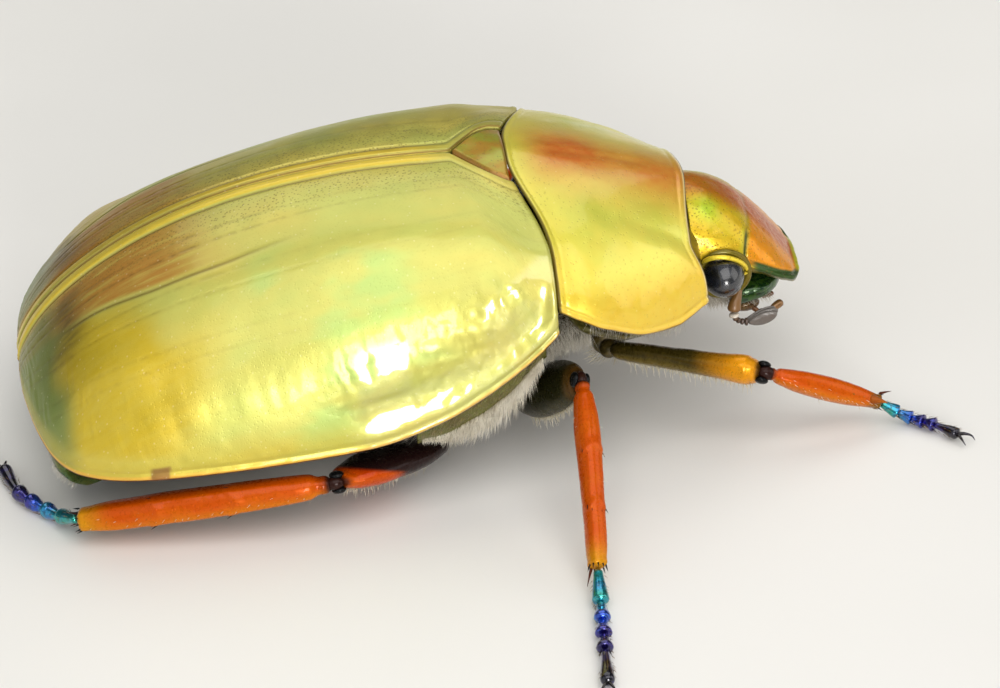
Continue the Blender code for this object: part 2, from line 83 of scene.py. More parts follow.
def hill(v):
    """a round hill: 1 at 0, falling to almost nothing past 2"""
    return np.exp(-v * v)


def along(t, stops):
    ts, vs = zip(*stops)
    t = np.asarray(t, float)
    k = clamp(np.searchsorted(ts, t, side="right") - 1, 0, len(ts) - 2).astype(int)
    a, b = np.take(ts, k), np.take(ts, k + 1)
    f = smooth((t - a) / (b - a)) * 0.5 + clamp((t - a) / (b - a)) * 0.5
    return np.take(vs, k) * (1 - f) + np.take(vs, k + 1) * f


def eased(t, stops):
    """a rounder curve through (t, value) stops than along(), for shapes seen close up"""
    ts, vs = (np.asarray(c, float) for c in zip(*stops))
    slope = np.gradient(vs, ts)
    t = clamp(np.asarray(t, float), ts[0], ts[-1])
    k = clamp(np.searchsorted(ts, t, side="right") - 1, 0, len(ts) - 2).astype(int)
    h = ts[k + 1] - ts[k]
    f = (t - ts[k]) / h
    return ((1 + 2 * f) * (1 - f) ** 2 * vs[k] + f * (1 - f) ** 2 * h * slope[k]
            + f * f * (3 - 2 * f) * vs[k + 1] + f * f * (f - 1) * h * slope[k + 1])


def suture_z(x):
    t = clamp((X_PEAK - x) / (X_PEAK - X_APEX))
    back = Z_APEX + (Z_PEAK - Z_APEX) * (1 - t ** 2.08) ** 0.64
    front = Z_PEAK - 0.0095 * (x - X_PEAK) ** 2
    return np.where(x < X_PEAK, back, front)


def margin_z(x):
    z = 2.78 + 0.028 * (x + 12.9) + 3.0 * clamp((x + 6.6) / 8.2) ** 2.4
    return z + (Z_APEX - 2.67) * clamp((-14.6 - x) / 2.12) ** 3


def half_width(x):
    s = clamp((X_HUM - x) / (X_HUM - X_APEX))
    return (W_HUM + (W_MAX - W_HUM) * np.sin(clamp(s / S_MAX) * math.pi / 2)) * (1 - s ** 10) ** 0.38


def section_power(x):
    s = clamp((X_HUM - x) / (X_HUM - X_APEX))
    return 2.1 + 1.75 * (1 - smooth(s / 0.62)) - 0.25 * smooth((s - 0.75) / 0.25)


def base_x(y):
    return 0.62 + 1.0 * smooth((np.abs(y) - 0.6) / 4.6)


def inner_edge(x):
    f = clamp((x - X_SCUT_TIP) / (0.75 - X_SCUT_TIP))
    return SEAM + SCUT_W * np.sin(f * math.pi / 2) ** 1.1


def back_z(x, y):
    r = clamp(np.abs(y) / np.maximum(half_width(x), 1e-6))
    dome = margin_z(x) + (suture_z(x) - margin_z(x)) * np.sqrt(1 - r ** section_power(x))
    return dome - SHOULDER_DROP * smooth((x + 0.9) / 2.5) * np.sin(r * math.pi) ** 2


def wing_case_point(u, v):
    u, v = np.asarray(u, float), np.asarray(v, float)
    g = np.sin(u * math.pi / 2) ** 1.1
    x = X_HUM + (X_APEX - X_HUM) * g
    for _ in range(5):
        w = half_width(x)
        t0 = np.arcsin(clamp(np.minimum(inner_edge(x), w * 0.98) / np.maximum(w, 1e-6))) / (math.pi / 2)
        y = w * np.sin((v + (1 - v) ** 3 * t0) * math.pi / 2)
        xb = base_x(y) - 0.035
        x = xb + (X_APEX - xb) * g
    return np.stack([x, y, back_z(x, y)], -1)


def pro_half_width(t):
    return along(t, ((0, 6.20), (0.25, 6.22), (0.52, 5.72), (0.78, 4.86), (1, 3.92)))


def pro_margin_z(t):
    return along(t, ((0, 7.00), (0.12, 6.62), (0.30, 6.12), (0.52, 5.45), (0.78, 5.10), (1, 5.28)))


def pro_x(t, y):
    back = base_x(y) + 0.035
    front = 6.55 + 0.24 * np.exp(-(y / 1.7) ** 2) + 0.42 * smooth((np.abs(y) - 3.0) / 0.95)
    return back + (front - back) * t


def pro_z(t, y):
    top = PRO_BASE_Z + (PRO_FRONT_Z - PRO_BASE_Z) * t + PRO_CROWN * 4 * t * (1 - t) * (1 - 0.15 * t)
    r = clamp(np.abs(y) / pro_half_width(t))
    n, p = 1.75 + 0.40 * t, 0.58 - 0.08 * t
    return pro_margin_z(t) + (top - pro_margin_z(t)) * (1 - r ** n) ** p


# ---- seeded noise, the same on every run ------------------------------------------
def hashed(i, j, k, seed):
    h = (i * 374761393 + j * 668265263 + k * 1274126177 + seed * 974634777) & 0xFFFFFFFF
    h = ((h ^ (h >> 13)) * 1103515245) & 0xFFFFFFFF
    return ((h ^ (h >> 16)) & 0xFFFFFF) / 0xFFFFFF


def noise3(p, size, seed=0):
    """smooth noise from -1 to 1; size is its grain in mm, one number or one for each axis"""
    q = np.asarray(p, float) / np.asarray(size, float)
    i = np.floor(q).astype(np.int64)
    f = q - i
    f = f * f * (3 - 2 * f)
    total = 0.0
    for a in (0, 1):
        for b in (0, 1):
            for c in (0, 1):
                w = ((f[..., 0] if a else 1 - f[..., 0]) * (f[..., 1] if b else 1 - f[..., 1])
                     * (f[..., 2] if c else 1 - f[..., 2]))
                total = total + w * hashed(i[..., 0] + a, i[..., 1] + b, i[..., 2] + c, seed)
    return total * 2 - 1


def unit(v):
    v = np.asarray(v, float)
    return v / np.maximum(np.linalg.norm(v, axis=-1, keepdims=True), 1e-9)


# ---- meshes from arrays --------------------------------------------------------------
def grid_normals(p, wrap=False):
    du = np.gradient(p, axis=0)
    dv = np.roll(p, -1, 1) - np.roll(p, 1, 1) if wrap else np.gradient(p, axis=1)
    return unit(np.cross(du, dv))


def volume(points, blocks):
    total = 0.0
    for block in blocks:
        a = points[block[:, 0]]
        for k in range(1, block.shape[1] - 1):
            total += np.einsum("ij,ij->i", a, np.cross(points[block[:, k]], points[block[:, k + 1]])).sum()
    return total


class Piece:
    """collects closed shapes and turns them into one object"""

    def __init__(self, name):
        self.name, self.points, self.blocks, self.marks, self.count = name, [], [], [], 0

    def add(self, points, blocks, **marks):
        points = np.asarray(points, float).reshape(-1, 3)
        blocks = [np.asarray(b, np.int64) for b in blocks if len(b)]
        if volume(points - points.mean(0), blocks) < 0:
            blocks = [b[:, ::-1] for b in blocks]
        self.points.append(points)
        self.blocks += [b + self.count for b in blocks]
        self.marks.append((len(points), marks))
        self.count += len(points)
        return self

    def done(self, mat, slot, *replaced, mirror=False, patches=None):
        points = np.concatenate(self.points)
        if mirror:
            points[:, 1] *= -1
        blocks = [b[:, ::-1] for b in self.blocks] if mirror else self.blocks
        mesh = bpy.data.meshes.new(self.name)
        loops = np.concatenate([b.ravel() for b in blocks]).astype(np.int32)
        sizes = np.concatenate([np.full(len(b), b.shape[1], np.int32) for b in blocks])
        starts = np.concatenate([[0], np.cumsum(sizes)[:-1]]).astype(np.int32)
        mesh.vertices.add(len(points))
        mesh.vertices.foreach_set("co", ((points - (MIDDLE_X, 0, 0)) * MM).astype(np.float32).ravel())
        mesh.loops.add(len(loops))
        mesh.loops.foreach_set("vertex_index", loops)
        mesh.polygons.add(len(sizes))
        mesh.polygons.foreach_set("loop_start", starts)
        mesh.polygons.foreach_set("use_smooth", np.ones(len(sizes), bool))
        mesh.update(calc_edges=True)
        names = sorted({key for _, marks in self.marks for key in marks})
        for key in names:
            parts = []
            for size, marks in self.marks:
                value = np.asarray(marks.get(key, 0.0), float)
                vector = key == "flat"
                want = (size, 3) if vector else (size,)
                if vector and value.ndim == 0:
                    value = np.zeros(want)
                parts.append(np.broadcast_to(value.reshape(want) if value.size == np.prod(want) else value, want))
            kind = "FLOAT_VECTOR" if key == "flat" else "FLOAT"
            field = mesh.attributes.new(key, kind, "POINT")
            field.data.foreach_set("vector" if key == "flat" else "value",
                                   np.concatenate(parts).astype(np.float32).ravel())
        if patches is not None:
            layer = mesh.uv_layers.new(name="OFBake")
            layer.data.foreach_set("uv", np.asarray(patches, np.float32)[loops].ravel())
        mesh.materials.append(mat)
        obj = bpy.data.objects.new(self.name, mesh)
        bpy.context.scene.collection.objects.link(obj)
        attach(obj, "root")
        if replaced:
            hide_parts(*replaced)
        return obj


def tubed(rings, tips=(0.0, 0.0)):
    """the points and faces of closed rings in a row, with an end point on each end"""
    rings = np.asarray(rings, float)
    rows, size = rings.shape[:2]
    index = np.arange(rows * size).reshape(rows, size)
    a, b = index[:-1], index[1:]
    quads = np.stack([a, np.roll(a, -1, 1), np.roll(b, -1, 1), b], -1).reshape(-1, 4)
    ends, fans = [], []
    for n, (near, far, out) in enumerate(((0, 1, tips[0]), (-1, -2, tips[1]))):
        middle = rings[near].mean(0)
        way = middle - rings[far].mean(0)
        ends.append(middle + way / max(np.linalg.norm(way), 1e-9) * out)
        ring = index[near]
        pair = (np.roll(ring, -1), ring) if n == 0 else (ring, np.roll(ring, -1))
        fans.append(np.stack([*pair, np.full(size, rows * size + n)], -1))
    return np.concatenate([rings.reshape(-1, 3), np.array(ends)]), [quads, np.concatenate(fans)]


def limb(path, wide, thick, broad, sides=28, power=2.0):
    """rings round a path; `broad` points along the wider radius. Returns rings and, for each point, its angle"""
    path = np.asarray(path, float)
    rows = len(path)
    tangent = unit(np.gradient(path, axis=0))
    a = np.asarray(broad, float) - (tangent @ np.asarray(broad, float))[:, None] * tangent
    a = unit(a)
    b = np.cross(tangent, a)
    f = 2 * math.pi * (np.arange(sides) + 0.5) / sides
    c, s = np.cos(f), np.sin(f)
    if power != 2.0:
        c, s = np.sign(c) * np.abs(c) ** (2 / power), np.sign(s) * np.abs(s) ** (2 / power)
    wide, thick = np.broadcast_to(wide, rows), np.broadcast_to(thick, rows)
    rings = (path[:, None] + a[:, None] * (wide[:, None] * c)[..., None] + b[:, None] * (thick[:, None] * s)[..., None])
    return rings, np.broadcast_to(f, (rows, sides))


def rounded(t, near=0.06, far=0.06):
    """how full a shape is along its length t, closing roundly at both ends"""
    return (np.sqrt(clamp(1 - clamp(1 - t / near) ** 2, 1e-3)) * np.sqrt(clamp(1 - clamp(1 - (1 - t) / far) ** 2, 1e-3)))


def blob(middle, axes, radii, rows=18, sides=28):
    """an ellipsoid; axes are three directions"""
    axes = np.asarray(axes, float)
    t = (1 - np.cos(np.linspace(0.06, math.pi - 0.06, rows))) / 2 * 2 - 1
    r = np.sqrt(clamp(1 - t * t))
    f = 2 * math.pi * np.arange(sides) / sides
    local = np.stack([np.broadcast_to(t[:, None], (rows, sides)) * radii[0], r[:, None] * np.cos(f) * radii[1],
                      r[:, None] * np.sin(f) * radii[2]], -1)
    return tubed(np.asarray(middle, float) + local @ axes, (0.0, 0.0))


def curve(points, count):
    """a smooth path through the points"""
    points = np.asarray(points, float)
    reach = np.concatenate([[0], np.cumsum(np.linalg.norm(np.diff(points, axis=0), axis=1))])
    reach /= reach[-1]
    t = np.linspace(0, 1, count)
    return np.stack([eased(t, list(zip(reach, points[:, k]))) for k in range(3)], -1)


def hairs(roots, ways, lengths, thick, droop=(0, 0, -1), bend=0.25, rings=4, sides=3):
    """thin tapering bristles, one closed body each, all at once"""
    roots, ways = np.asarray(roots, float), unit(ways)
    count = len(roots)
    lengths = np.broadcast_to(lengths, count)[:, None]
    thick = np.broadcast_to(thick, count)[:, None]
    bends = unit(np.broadcast_to(droop, roots.shape)) * np.broadcast_to(bend, count)[:, None]
    side = unit(np.cross(ways, np.where(np.abs(ways[:, 2:3]) > 0.9, (1.0, 0, 0), (0, 0, 1.0))))
    other = np.cross(ways, side)
    cells = []
    for k in range(rings):
        s = k / rings
        middle = roots + ways * lengths * s + bends * lengths * s * s
        r = thick * (1 - 0.75 * s)
        for j in range(sides):
            f = 2 * math.pi * j / sides
            cells.append(middle + (side * math.cos(f) + other * math.sin(f)) * r)
    cells.append(roots + ways * lengths + bends * lengths)
    points = np.stack(cells, 1)
    per = rings * sides + 1
    quads, tris = [], [(2, 1, 0)] if sides == 3 else []
    for k in range(rings - 1):
        for j in range(sides):
            n = (j + 1) % sides
            quads.append((k * sides + j, k * sides + n, (k + 1) * sides + n, (k + 1) * sides + j))
    last = (rings - 1) * sides
    for j in range(sides):
        tris.append((last + j, last + (j + 1) % sides, per - 1))
    step = (np.arange(count) * per)[:, None, None]
    return (points.reshape(-1, 3), [(np.array(quads)[None] + step).reshape(-1, 4), (np.array(tris)[None] + step).reshape(-1, 3)],
            np.tile(np.concatenate([np.repeat(np.arange(rings) / rings, sides), [1.0]]), count), per)


def patch_map(places, per):
    """one bake patch for each bristle, about 0.003 across, at its root's place on the unwrapped skin"""
    f = np.linspace(0, 2 * math.pi, per, endpoint=False)
    ring = np.stack([np.cos(f), np.sin(f)], -1) * 0.0015
    places = 0.01 + 0.98 * clamp(np.asarray(places, float))
    return (places[:, None] + ring[None]).reshape(-1, 2)


# ---- materials -----------------------------------------------------------------------
def rgb(r, g, b):
    return tuple((c / 255 / 12.92) if c / 255 <= 0.04045 else ((c / 255 + 0.055) / 1.055) ** 2.4 for c in (r, g, b)) + (1.0,)


class Look:
    """a short way of writing shader nodes; lengths in the nodes are millimetres"""

    def __init__(self, name, **fixed):
        self.mat = bpy.data.materials.new(name)
        self.mat.use_nodes = True
        self.tree = self.mat.node_tree
        self.shader = self.tree.nodes["Principled BSDF"]
        for key, value in fixed.items():
            self.shader.inputs[key.replace("_", " ")].default_value = value
        place = self.tree.nodes.new("ShaderNodeTexCoord")
        scale = self.tree.nodes.new("ShaderNodeMapping")
        scale.inputs["Scale"].default_value = (1000, 1000, 1000)
        self.tree.links.new(place.outputs["Object"], scale.inputs["Vector"])
        self.mm = scale.outputs["Vector"]

    def put(self, socket, value):
        if isinstance(value, bpy.types.NodeSocket):
            self.tree.links.new(value, socket)
        elif value is not None:
            socket.default_value = value

    def attr(self, name, vector=False):
        node = self.tree.nodes.new("ShaderNodeAttribute")
        node.attribute_name = name
        return node.outputs["Vector" if vector else "Fac"]

    def axis(self, which):
        node = self.tree.nodes.new("ShaderNodeSeparateXYZ")
        self.put(node.inputs[0], self.mm)
        return node.outputs[which]

    def stretch(self, vector, scale):
        node = self.tree.nodes.new("ShaderNodeMapping")
        node.inputs["Scale"].default_value = scale
        self.put(node.inputs["Vector"], vector)
        return node.outputs["Vector"]

    def noise(self, grain, detail=2.0, rough=0.5, vector=None, stretch=None, twist=0.0):
        vector = self.mm if vector is None else vector
        if stretch:
            vector = self.stretch(vector, stretch)
        node = self.tree.nodes.new("ShaderNodeTexNoise")
        node.inputs["Scale"].default_value = 1.0 / grain
        node.inputs["Detail"].default_value = detail
        node.inputs["Roughness"].default_value = rough
        node.inputs["Distortion"].default_value = twist
        self.put(node.inputs["Vector"], vector)
        return node.outputs["Fac"]

    def dots(self, grain, vector=None, feature="F1", flat=False):
        node = self.tree.nodes.new("ShaderNodeTexVoronoi")
        node.voronoi_dimensions = "2D" if flat else "3D"
        node.feature = feature
        node.inputs["Scale"].default_value = 1.0 / grain
        self.put(node.inputs["Vector"], self.mm if vector is None else vector)
        return node.outputs["Distance"]

    def math(self, what, a, b=None, capped=False):
        node = self.tree.nodes.new("ShaderNodeMath")
        node.operation = what
        node.use_clamp = capped
        self.put(node.inputs[0], a)
        if b is not None:
            self.put(node.inputs[1], b)
        return node.outputs[0]

    def span(self, value, a, b, c=0.0, d=1.0):
        node = self.tree.nodes.new("ShaderNodeMapRange")
        node.interpolation_type = "SMOOTHSTEP"
        for k, v in enumerate((value, a, b, c, d)):
            self.put(node.inputs[k], v)
        return node.outputs[0]

    def mix(self, factor, a, b, blend="MIX"):
        node = self.tree.nodes.new("ShaderNodeMix")
        node.data_type = "RGBA"
        node.blend_type = blend
        self.put(node.inputs[0], factor)
        self.put(node.inputs[6], a)
        self.put(node.inputs[7], b)
        return node.outputs[2]

    def ramp(self, factor, stops):
        node = self.tree.nodes.new("ShaderNodeValToRGB")
        ramp = node.color_ramp
        while len(ramp.elements) < len(stops):
            ramp.elements.new(0.5)
        for element, (place, colour) in zip(ramp.elements, stops):
            element.position = place
            element.color = colour
        self.put(node.inputs[0], factor)
        return node.outputs[0]

    def bump(self, height, depth, strength=1.0, under=None):
        node = self.tree.nodes.new("ShaderNodeBump")
        node.inputs["Strength"].default_value = strength
        node.inputs["Distance"].default_value = depth * MM
        self.put(node.inputs["Height"], height)
        self.put(node.inputs["Normal"], under)
        return node.outputs[0]

    def finish(self, colour=None, roughness=None, normal=None, metallic=None, coat_normal=None):
        for key, value in (("Base Color", colour), ("Roughness", roughness), ("Normal", normal), ("Metallic", metallic),
                           ("Coat Normal", coat_normal)):
            self.put(self.shader.inputs[key], value)
        return self.mat


def wing_look():
    n = Look("wing_case_shell", Coat_Roughness=0.09, Coat_IOR=1.8)
    n.put(n.shader.inputs["Coat Weight"], n.span(n.attr("gloss"), 0.0, 1.0, 0.16, 0.95))
    flat = n.attr("flat", True)
    sut, edge, gold, sage, brown, green, stria, under, olive = (
        n.attr(k) for k in ("sut", "edge", "gold", "sage", "brown", "green", "stria", "under", "olive"))
    cloud = n.noise(2.6, 3.0, 0.55, flat, (0.55, 1.0, 1.0))
    fine = n.noise(0.5, 3.0, 0.6, flat, (0.45, 1.6, 1.0))
    colour = n.mix(n.span(cloud, 0.32, 0.66), rgb(188, 190, 92), rgb(204, 190, 88))
    colour = n.mix(n.math("MULTIPLY", n.span(cloud, 0.45, 0.62), n.math("MULTIPLY", green, 0.9)), colour, rgb(172, 196, 104))
    colour = n.mix(n.math("MULTIPLY", gold, n.span(fine, 0.15, 0.75, 0.75, 1.0)), colour, rgb(196, 168, 26))
    colour = n.mix(n.math("MULTIPLY", olive, n.span(fine, 0.2, 0.8, 0.8, 1.0)), colour, rgb(150, 152, 50))
    # painted reflection: pale grey-green along the rear end, where the shell mirrors pale surroundings
    colour = n.mix(n.math("MULTIPLY", sage, n.span(cloud, 0.2, 0.7, 0.8, 1.0)), colour, rgb(116, 130, 62))
    streak = n.noise(0.32, 3.0, 0.65, flat, (0.10, 1.0, 1.0))
    # painted reflection: brown streaks of dark surroundings mirrored beside the seam towards the rear
    colour = n.mix(n.math("MULTIPLY", brown, n.span(streak, 0.22, 0.58, 0.35, 1.0)), colour, rgb(176, 126, 46))
    colour = n.mix(n.math("MULTIPLY", n.attr("smudge"), n.span(fine, 0.2, 0.7, 0.45, 0.85)), colour, rgb(84, 74, 34))
    band = n.math("MULTIPLY", n.span(sut, 0.50, 0.42), n.span(sut, 0.08, 0.17))
    colour = n.mix(n.math("MULTIPLY", band, n.attr("band")), colour, rgb(224, 192, 52))
    colour = n.mix(n.span(sut, 0.12, 0.03, 0.0, 0.75), colour, rgb(126, 84, 18))
    rim = n.span(edge, 0.20, 0.13)
    colour = n.mix(n.math("MULTIPLY", rim, 0.75), colour, rgb(226, 172, 60))
    colour = n.mix(n.span(edge, 0.07, 0.02), colour, rgb(112, 46, 16))
    colour = n.mix(n.attr("mark"), colour, rgb(132, 84, 40))
    pits = n.math("ADD", n.dots(0.150, flat, flat=True), n.span(n.noise(0.5, 2.0, 0.6, flat), 0.35, 0.60, 0.14, 0.0))
    near = n.math("MULTIPLY", n.span(sut, 2.6, 1.2, 0.0, 1.0), n.span(sut, 0.50, 0.62))
    dark = n.math("MULTIPLY", n.span(pits, 0.30, 0.16), n.math("ADD", n.math("MULTIPLY", near, 0.50), 0.03))
    colour = n.mix(dark, colour, rgb(108, 92, 20))
    colour = n.mix(n.math("MULTIPLY", stria, 0.78), colour, rgb(98, 72, 16))
    # painted highlight: tiny near-white specks standing in for glints
    glint_specks = n.dots(0.62, flat, flat=True)
    colour = n.mix(n.span(glint_specks, 0.07, 0.03, 0.0, 0.16), colour, rgb(246, 240, 196))
    colour = n.mix(under, colour, rgb(44, 32, 16))
    grain = n.math("ADD", n.math("MULTIPLY", n.span(pits, 0.26, 0.10), -0.9), n.math("MULTIPLY", n.noise(0.05, 2.0, 0.6, flat), 0.35))
    normal = n.bump(n.noise(0.34, 3.0, 0.62, flat, (1.0, 0.8, 1.0)), 0.010, 0.8)
    normal = n.bump(grain, 0.0045, 0.7, normal)
    rough = n.math("ADD", n.span(n.noise(0.8, 3.0, 0.6, flat), 0.3, 0.7, 0.33, 0.45), n.math("MULTIPLY", brown, 0.10))
    return n.finish(colour, rough, normal, n.attr("metal"))


def pronotum_look():
    n = Look("pronotum_shell", Coat_Weight=0.55, Coat_Roughness=0.11, Coat_IOR=1.5)
    edge, base, front, gold, orange, green, under = (n.attr(k) for k in ("edge", "base", "front", "gold", "orange", "green", "under"))
    cloud = n.noise(1.7, 3.0, 0.6)
    fine = n.noise(0.28, 3.0, 0.6)
    colour = n.mix(n.span(cloud, 0.35, 0.65), rgb(228, 214, 86), rgb(220, 216, 90))
    colour = n.mix(n.math("MULTIPLY", green, n.span(cloud, 0.25, 0.6, 0.4, 0.8)), colour, rgb(176, 196, 56))
    colour = n.mix(n.math("MULTIPLY", gold, n.span(fine, 0.2, 0.8, 0.8, 1.0)), colour, rgb(222, 184, 46))
    colour = n.mix(n.span(base, 2.2, 0.3, 0.0, 0.50), colour, rgb(212, 192, 40))
    colour = n.mix(n.math("MULTIPLY", orange, n.span(fine, 0.2, 0.8, 0.85, 1.0)), colour, rgb(206, 100, 12))
    colour = n.mix(n.span(edge, 0.20, 0.10, 0.0, 0.5), colour, rgb(232, 190, 70))
    colour = n.mix(n.span(edge, 0.06, 0.0, 0.0, 0.85), colour, rgb(120, 62, 14))
    colour = n.mix(n.span(base, 0.12, 0.03, 0.0, 0.85), colour, rgb(70, 48, 16))
    colour = n.mix(n.span(front, 0.11, 0.07, 0.0, 0.9), colour, rgb(236, 214, 140))
    colour = n.mix(n.span(front, 0.045, 0.02, 0.0, 0.9), colour, rgb(90, 60, 16))
    pits = n.dots(0.150)
    colour = n.mix(n.span(pits, 0.24, 0.12, 0.0, 0.16), colour, rgb(130, 106, 24))
    # painted highlight: tiny near-white specks standing in for glints
    glint_specks = n.dots(0.40)
    colour = n.mix(n.span(glint_specks, 0.09, 0.05, 0.0, 0.25), colour, rgb(246, 236, 170))
    colour = n.mix(under, colour, rgb(60, 56, 24))
    normal = n.bump(n.noise(0.30, 3.0, 0.6), 0.008, 0.7)
    normal = n.bump(n.math("MULTIPLY", n.span(pits, 0.28, 0.10), -1.0), 0.008, 0.8, normal)
    return n.finish(colour, n.span(n.noise(0.7, 3.0), 0.3, 0.7, 0.30, 0.42), normal, 0.36)


def head_look():
    n = Look("head_shell", Coat_Weight=0.34, Coat_Roughness=0.10, Coat_IOR=1.45, Specular_IOR_Level=0.25)
    green, orange, seam, rim, canthus, dark = (n.attr(k) for k in ("green", "orange", "seam", "rim", "canthus", "dark"))
    cloud = n.noise(0.9, 3.0, 0.6)
    fine = n.noise(0.16, 3.0, 0.6)
    colour = n.mix(n.span(cloud, 0.35, 0.65), rgb(207, 169, 27), rgb(200, 176, 35))
    colour = n.mix(n.math("MULTIPLY", green, n.span(cloud, 0.2, 0.6, 0.7, 1.0)), colour, rgb(168, 196, 48))
    colour = n.mix(n.math("MULTIPLY", n.attr("clypeus"), n.span(fine, 0.2, 0.7, 0.8, 1.0)), colour, rgb(222, 138, 16))
    colour = n.mix(n.math("MULTIPLY", orange, n.span(fine, 0.2, 0.7, 0.75, 1.0)), colour, rgb(178, 82, 10))
    colour = n.mix(n.math("MULTIPLY", canthus, 0.95), colour, rgb(232, 206, 56))
    colour = n.mix(rim, colour, rgb(178, 176, 44))
    colour = n.mix(n.attr("lip"), colour, rgb(50, 76, 24))
    colour = n.mix(seam, colour, rgb(22, 62, 20))
    colour = n.mix(dark, colour, rgb(24, 46, 18))
    pits = n.dots(0.11)
    colour = n.mix(n.span(pits, 0.30, 0.14, 0.0, 0.5), colour, rgb(112, 84, 18))
    normal = n.bump(n.noise(0.2, 3.0, 0.6), 0.008, 0.8)
    normal = n.bump(n.math("MULTIPLY", n.span(pits, 0.34, 0.12), -1.0), 0.010, 0.9, normal)
    return n.finish(colour, n.span(fine, 0.3, 0.7, 0.27, 0.40), normal, 0.42)


def scutellum_look():
    n = Look("scutellum_shell", Coat_Weight=0.45, Coat_Roughness=0.15, Coat_IOR=1.5)
    edge = n.attr("edge")
    cloud = n.noise(0.8, 3.0, 0.6)
    colour = n.mix(n.span(cloud, 0.3, 0.7), rgb(162, 166, 48), rgb(174, 130, 26))
    colour = n.mix(n.span(edge, 0.22, 0.05, 0.0, 0.8), colour, rgb(150, 96, 22))
    pits = n.dots(0.13)
    colour = n.mix(n.span(pits, 0.28, 0.12, 0.0, 0.5), colour, rgb(110, 86, 18))
    normal = n.bump(n.math("MULTIPLY", n.span(pits, 0.28, 0.10), -1.0), 0.008, 0.8)
    return n.finish(colour, n.span(cloud, 0.3, 0.7, 0.30, 0.42), normal, 0.42)


def eye_look():
    n = Look("eye_facets", Coat_Weight=1.0, Coat_Roughness=0.04, Coat_IOR=1.55)
    cells = n.dots(0.034, feature="F1")
    colour = n.mix(n.span(n.noise(0.5, 2.0), 0.35, 0.7), rgb(10, 11, 14), rgb(34, 38, 50))
    colour = n.mix(n.span(cells, 0.3, 0.7, 0.0, 0.5), colour, rgb(4, 4, 5))
    normal = n.bump(n.math("MULTIPLY", cells, -1.0), 0.006, 0.7)
    return n.finish(colour, n.span(cells, 0.2, 0.7, 0.16, 0.30), normal, 0.0)


def dark_look(name, first, second, third, metallic=0.5, rough=(0.25, 0.42), grain=0.35, coat=0.35):
    """dark plates of the underside, mottled between three colours, with fine punctures"""
    n = Look(name, Coat_Weight=coat, Coat_Roughness=0.16, Coat_IOR=1.5)
    cloud = n.noise(grain * 3, 3.0, 0.6)
    fine = n.noise(grain * 0.5, 3.0, 0.6)
    colour = n.mix(n.span(cloud, 0.35, 0.65), first, second)
    colour = n.mix(n.span(fine, 0.52, 0.72, 0.0, 0.8), colour, third)
    colour = n.mix(n.math("MULTIPLY", n.attr("seam"), 0.85), colour, rgb(8, 9, 6))
    colour = n.mix(n.attr("glint"), colour, rgb(20, 110, 80))
    pits = n.dots(grain * 0.5)
    normal = n.bump(fine, grain * 0.05, 0.9)
    normal = n.bump(n.math("MULTIPLY", n.span(pits, 0.36, 0.12), -1.0), grain * 0.045, 1.0, normal)
    return n.finish(colour, n.span(fine, 0.3, 0.7, *rough), normal, metallic)


def leg_look(name, upper, lower, tip, knee, metallic=0.30, speck=None, spread=(0.84, 1.0)):
    """t runs along the piece, low is 1 on its lower side, dark marks joints and spines, and on the hind femur painted
    shade over the upper face
    """
    n = Look(name, Coat_Weight=0.26, Coat_Roughness=0.05, Coat_IOR=1.40, Specular_IOR_Level=0.08)
    t, low, dark, pale = (n.attr(k) for k in ("t", "low", "dark", "pale"))
    cloud = n.noise(0.9, 3.0, 0.6)
    fine = n.noise(0.14, 3.0, 0.6)
    colour = n.mix(n.math("ADD", low, n.span(cloud, 0.3, 0.7, -0.18, 0.18), True), upper, lower)
    colour = n.mix(n.math("MULTIPLY", n.span(t, *spread), n.span(cloud, 0.3, 0.6, 0.7, 1.0)), colour, tip)
    colour = n.mix(n.span(t, 0.07, 0.0, 0.0, 0.8), colour, knee)
    if speck:
        colour = n.mix(n.span(fine, 0.58, 0.76, 0.0, 0.22), colour, speck)
    colour = n.mix(pale, colour, rgb(240, 226, 190))
    # dark joints and spines, and painted shade on the hind femur's upper face
    colour = n.mix(dark, colour, rgb(14, 15, 16))
    pits = n.dots(0.24)
    normal = n.bump(fine, 0.003, 0.6)
    normal = n.bump(n.math("MULTIPLY", n.span(pits, 0.20, 0.08), -1.0), 0.012, 0.9, normal)
    return n.finish(colour, n.span(fine, 0.3, 0.7, 0.24, 0.36), normal, metallic)


def tarsus_look():
    n = Look("tarsus_metal", Coat_Weight=0.8, Coat_Roughness=0.08, Coat_IOR=1.6)
    t, claw = n.attr("t"), n.attr("claw")
    cloud = n.noise(0.7, 2.0, 0.5)
    colour = n.ramp(n.math("ADD", t, n.span(cloud, 0.3, 0.7, -0.16, 0.16), True),
                    [(0.0, rgb(26, 158, 142)), (0.22, rgb(18, 146, 186)), (0.45, rgb(24, 84, 200)), (0.7, rgb(50, 38, 138)), (1.0, rgb(20, 16, 34))])
    colour = n.mix(n.span(n.noise(0.12, 3.0), 0.45, 0.7, 0.0, 0.6), colour, rgb(8, 12, 20))
    colour = n.mix(claw, colour, rgb(26, 14, 10))
    normal = n.bump(n.noise(0.08, 3.0, 0.6), 0.005, 0.8)
    return n.finish(colour, n.span(n.noise(0.2), 0.3, 0.7, 0.13, 0.24), normal, 0.80)


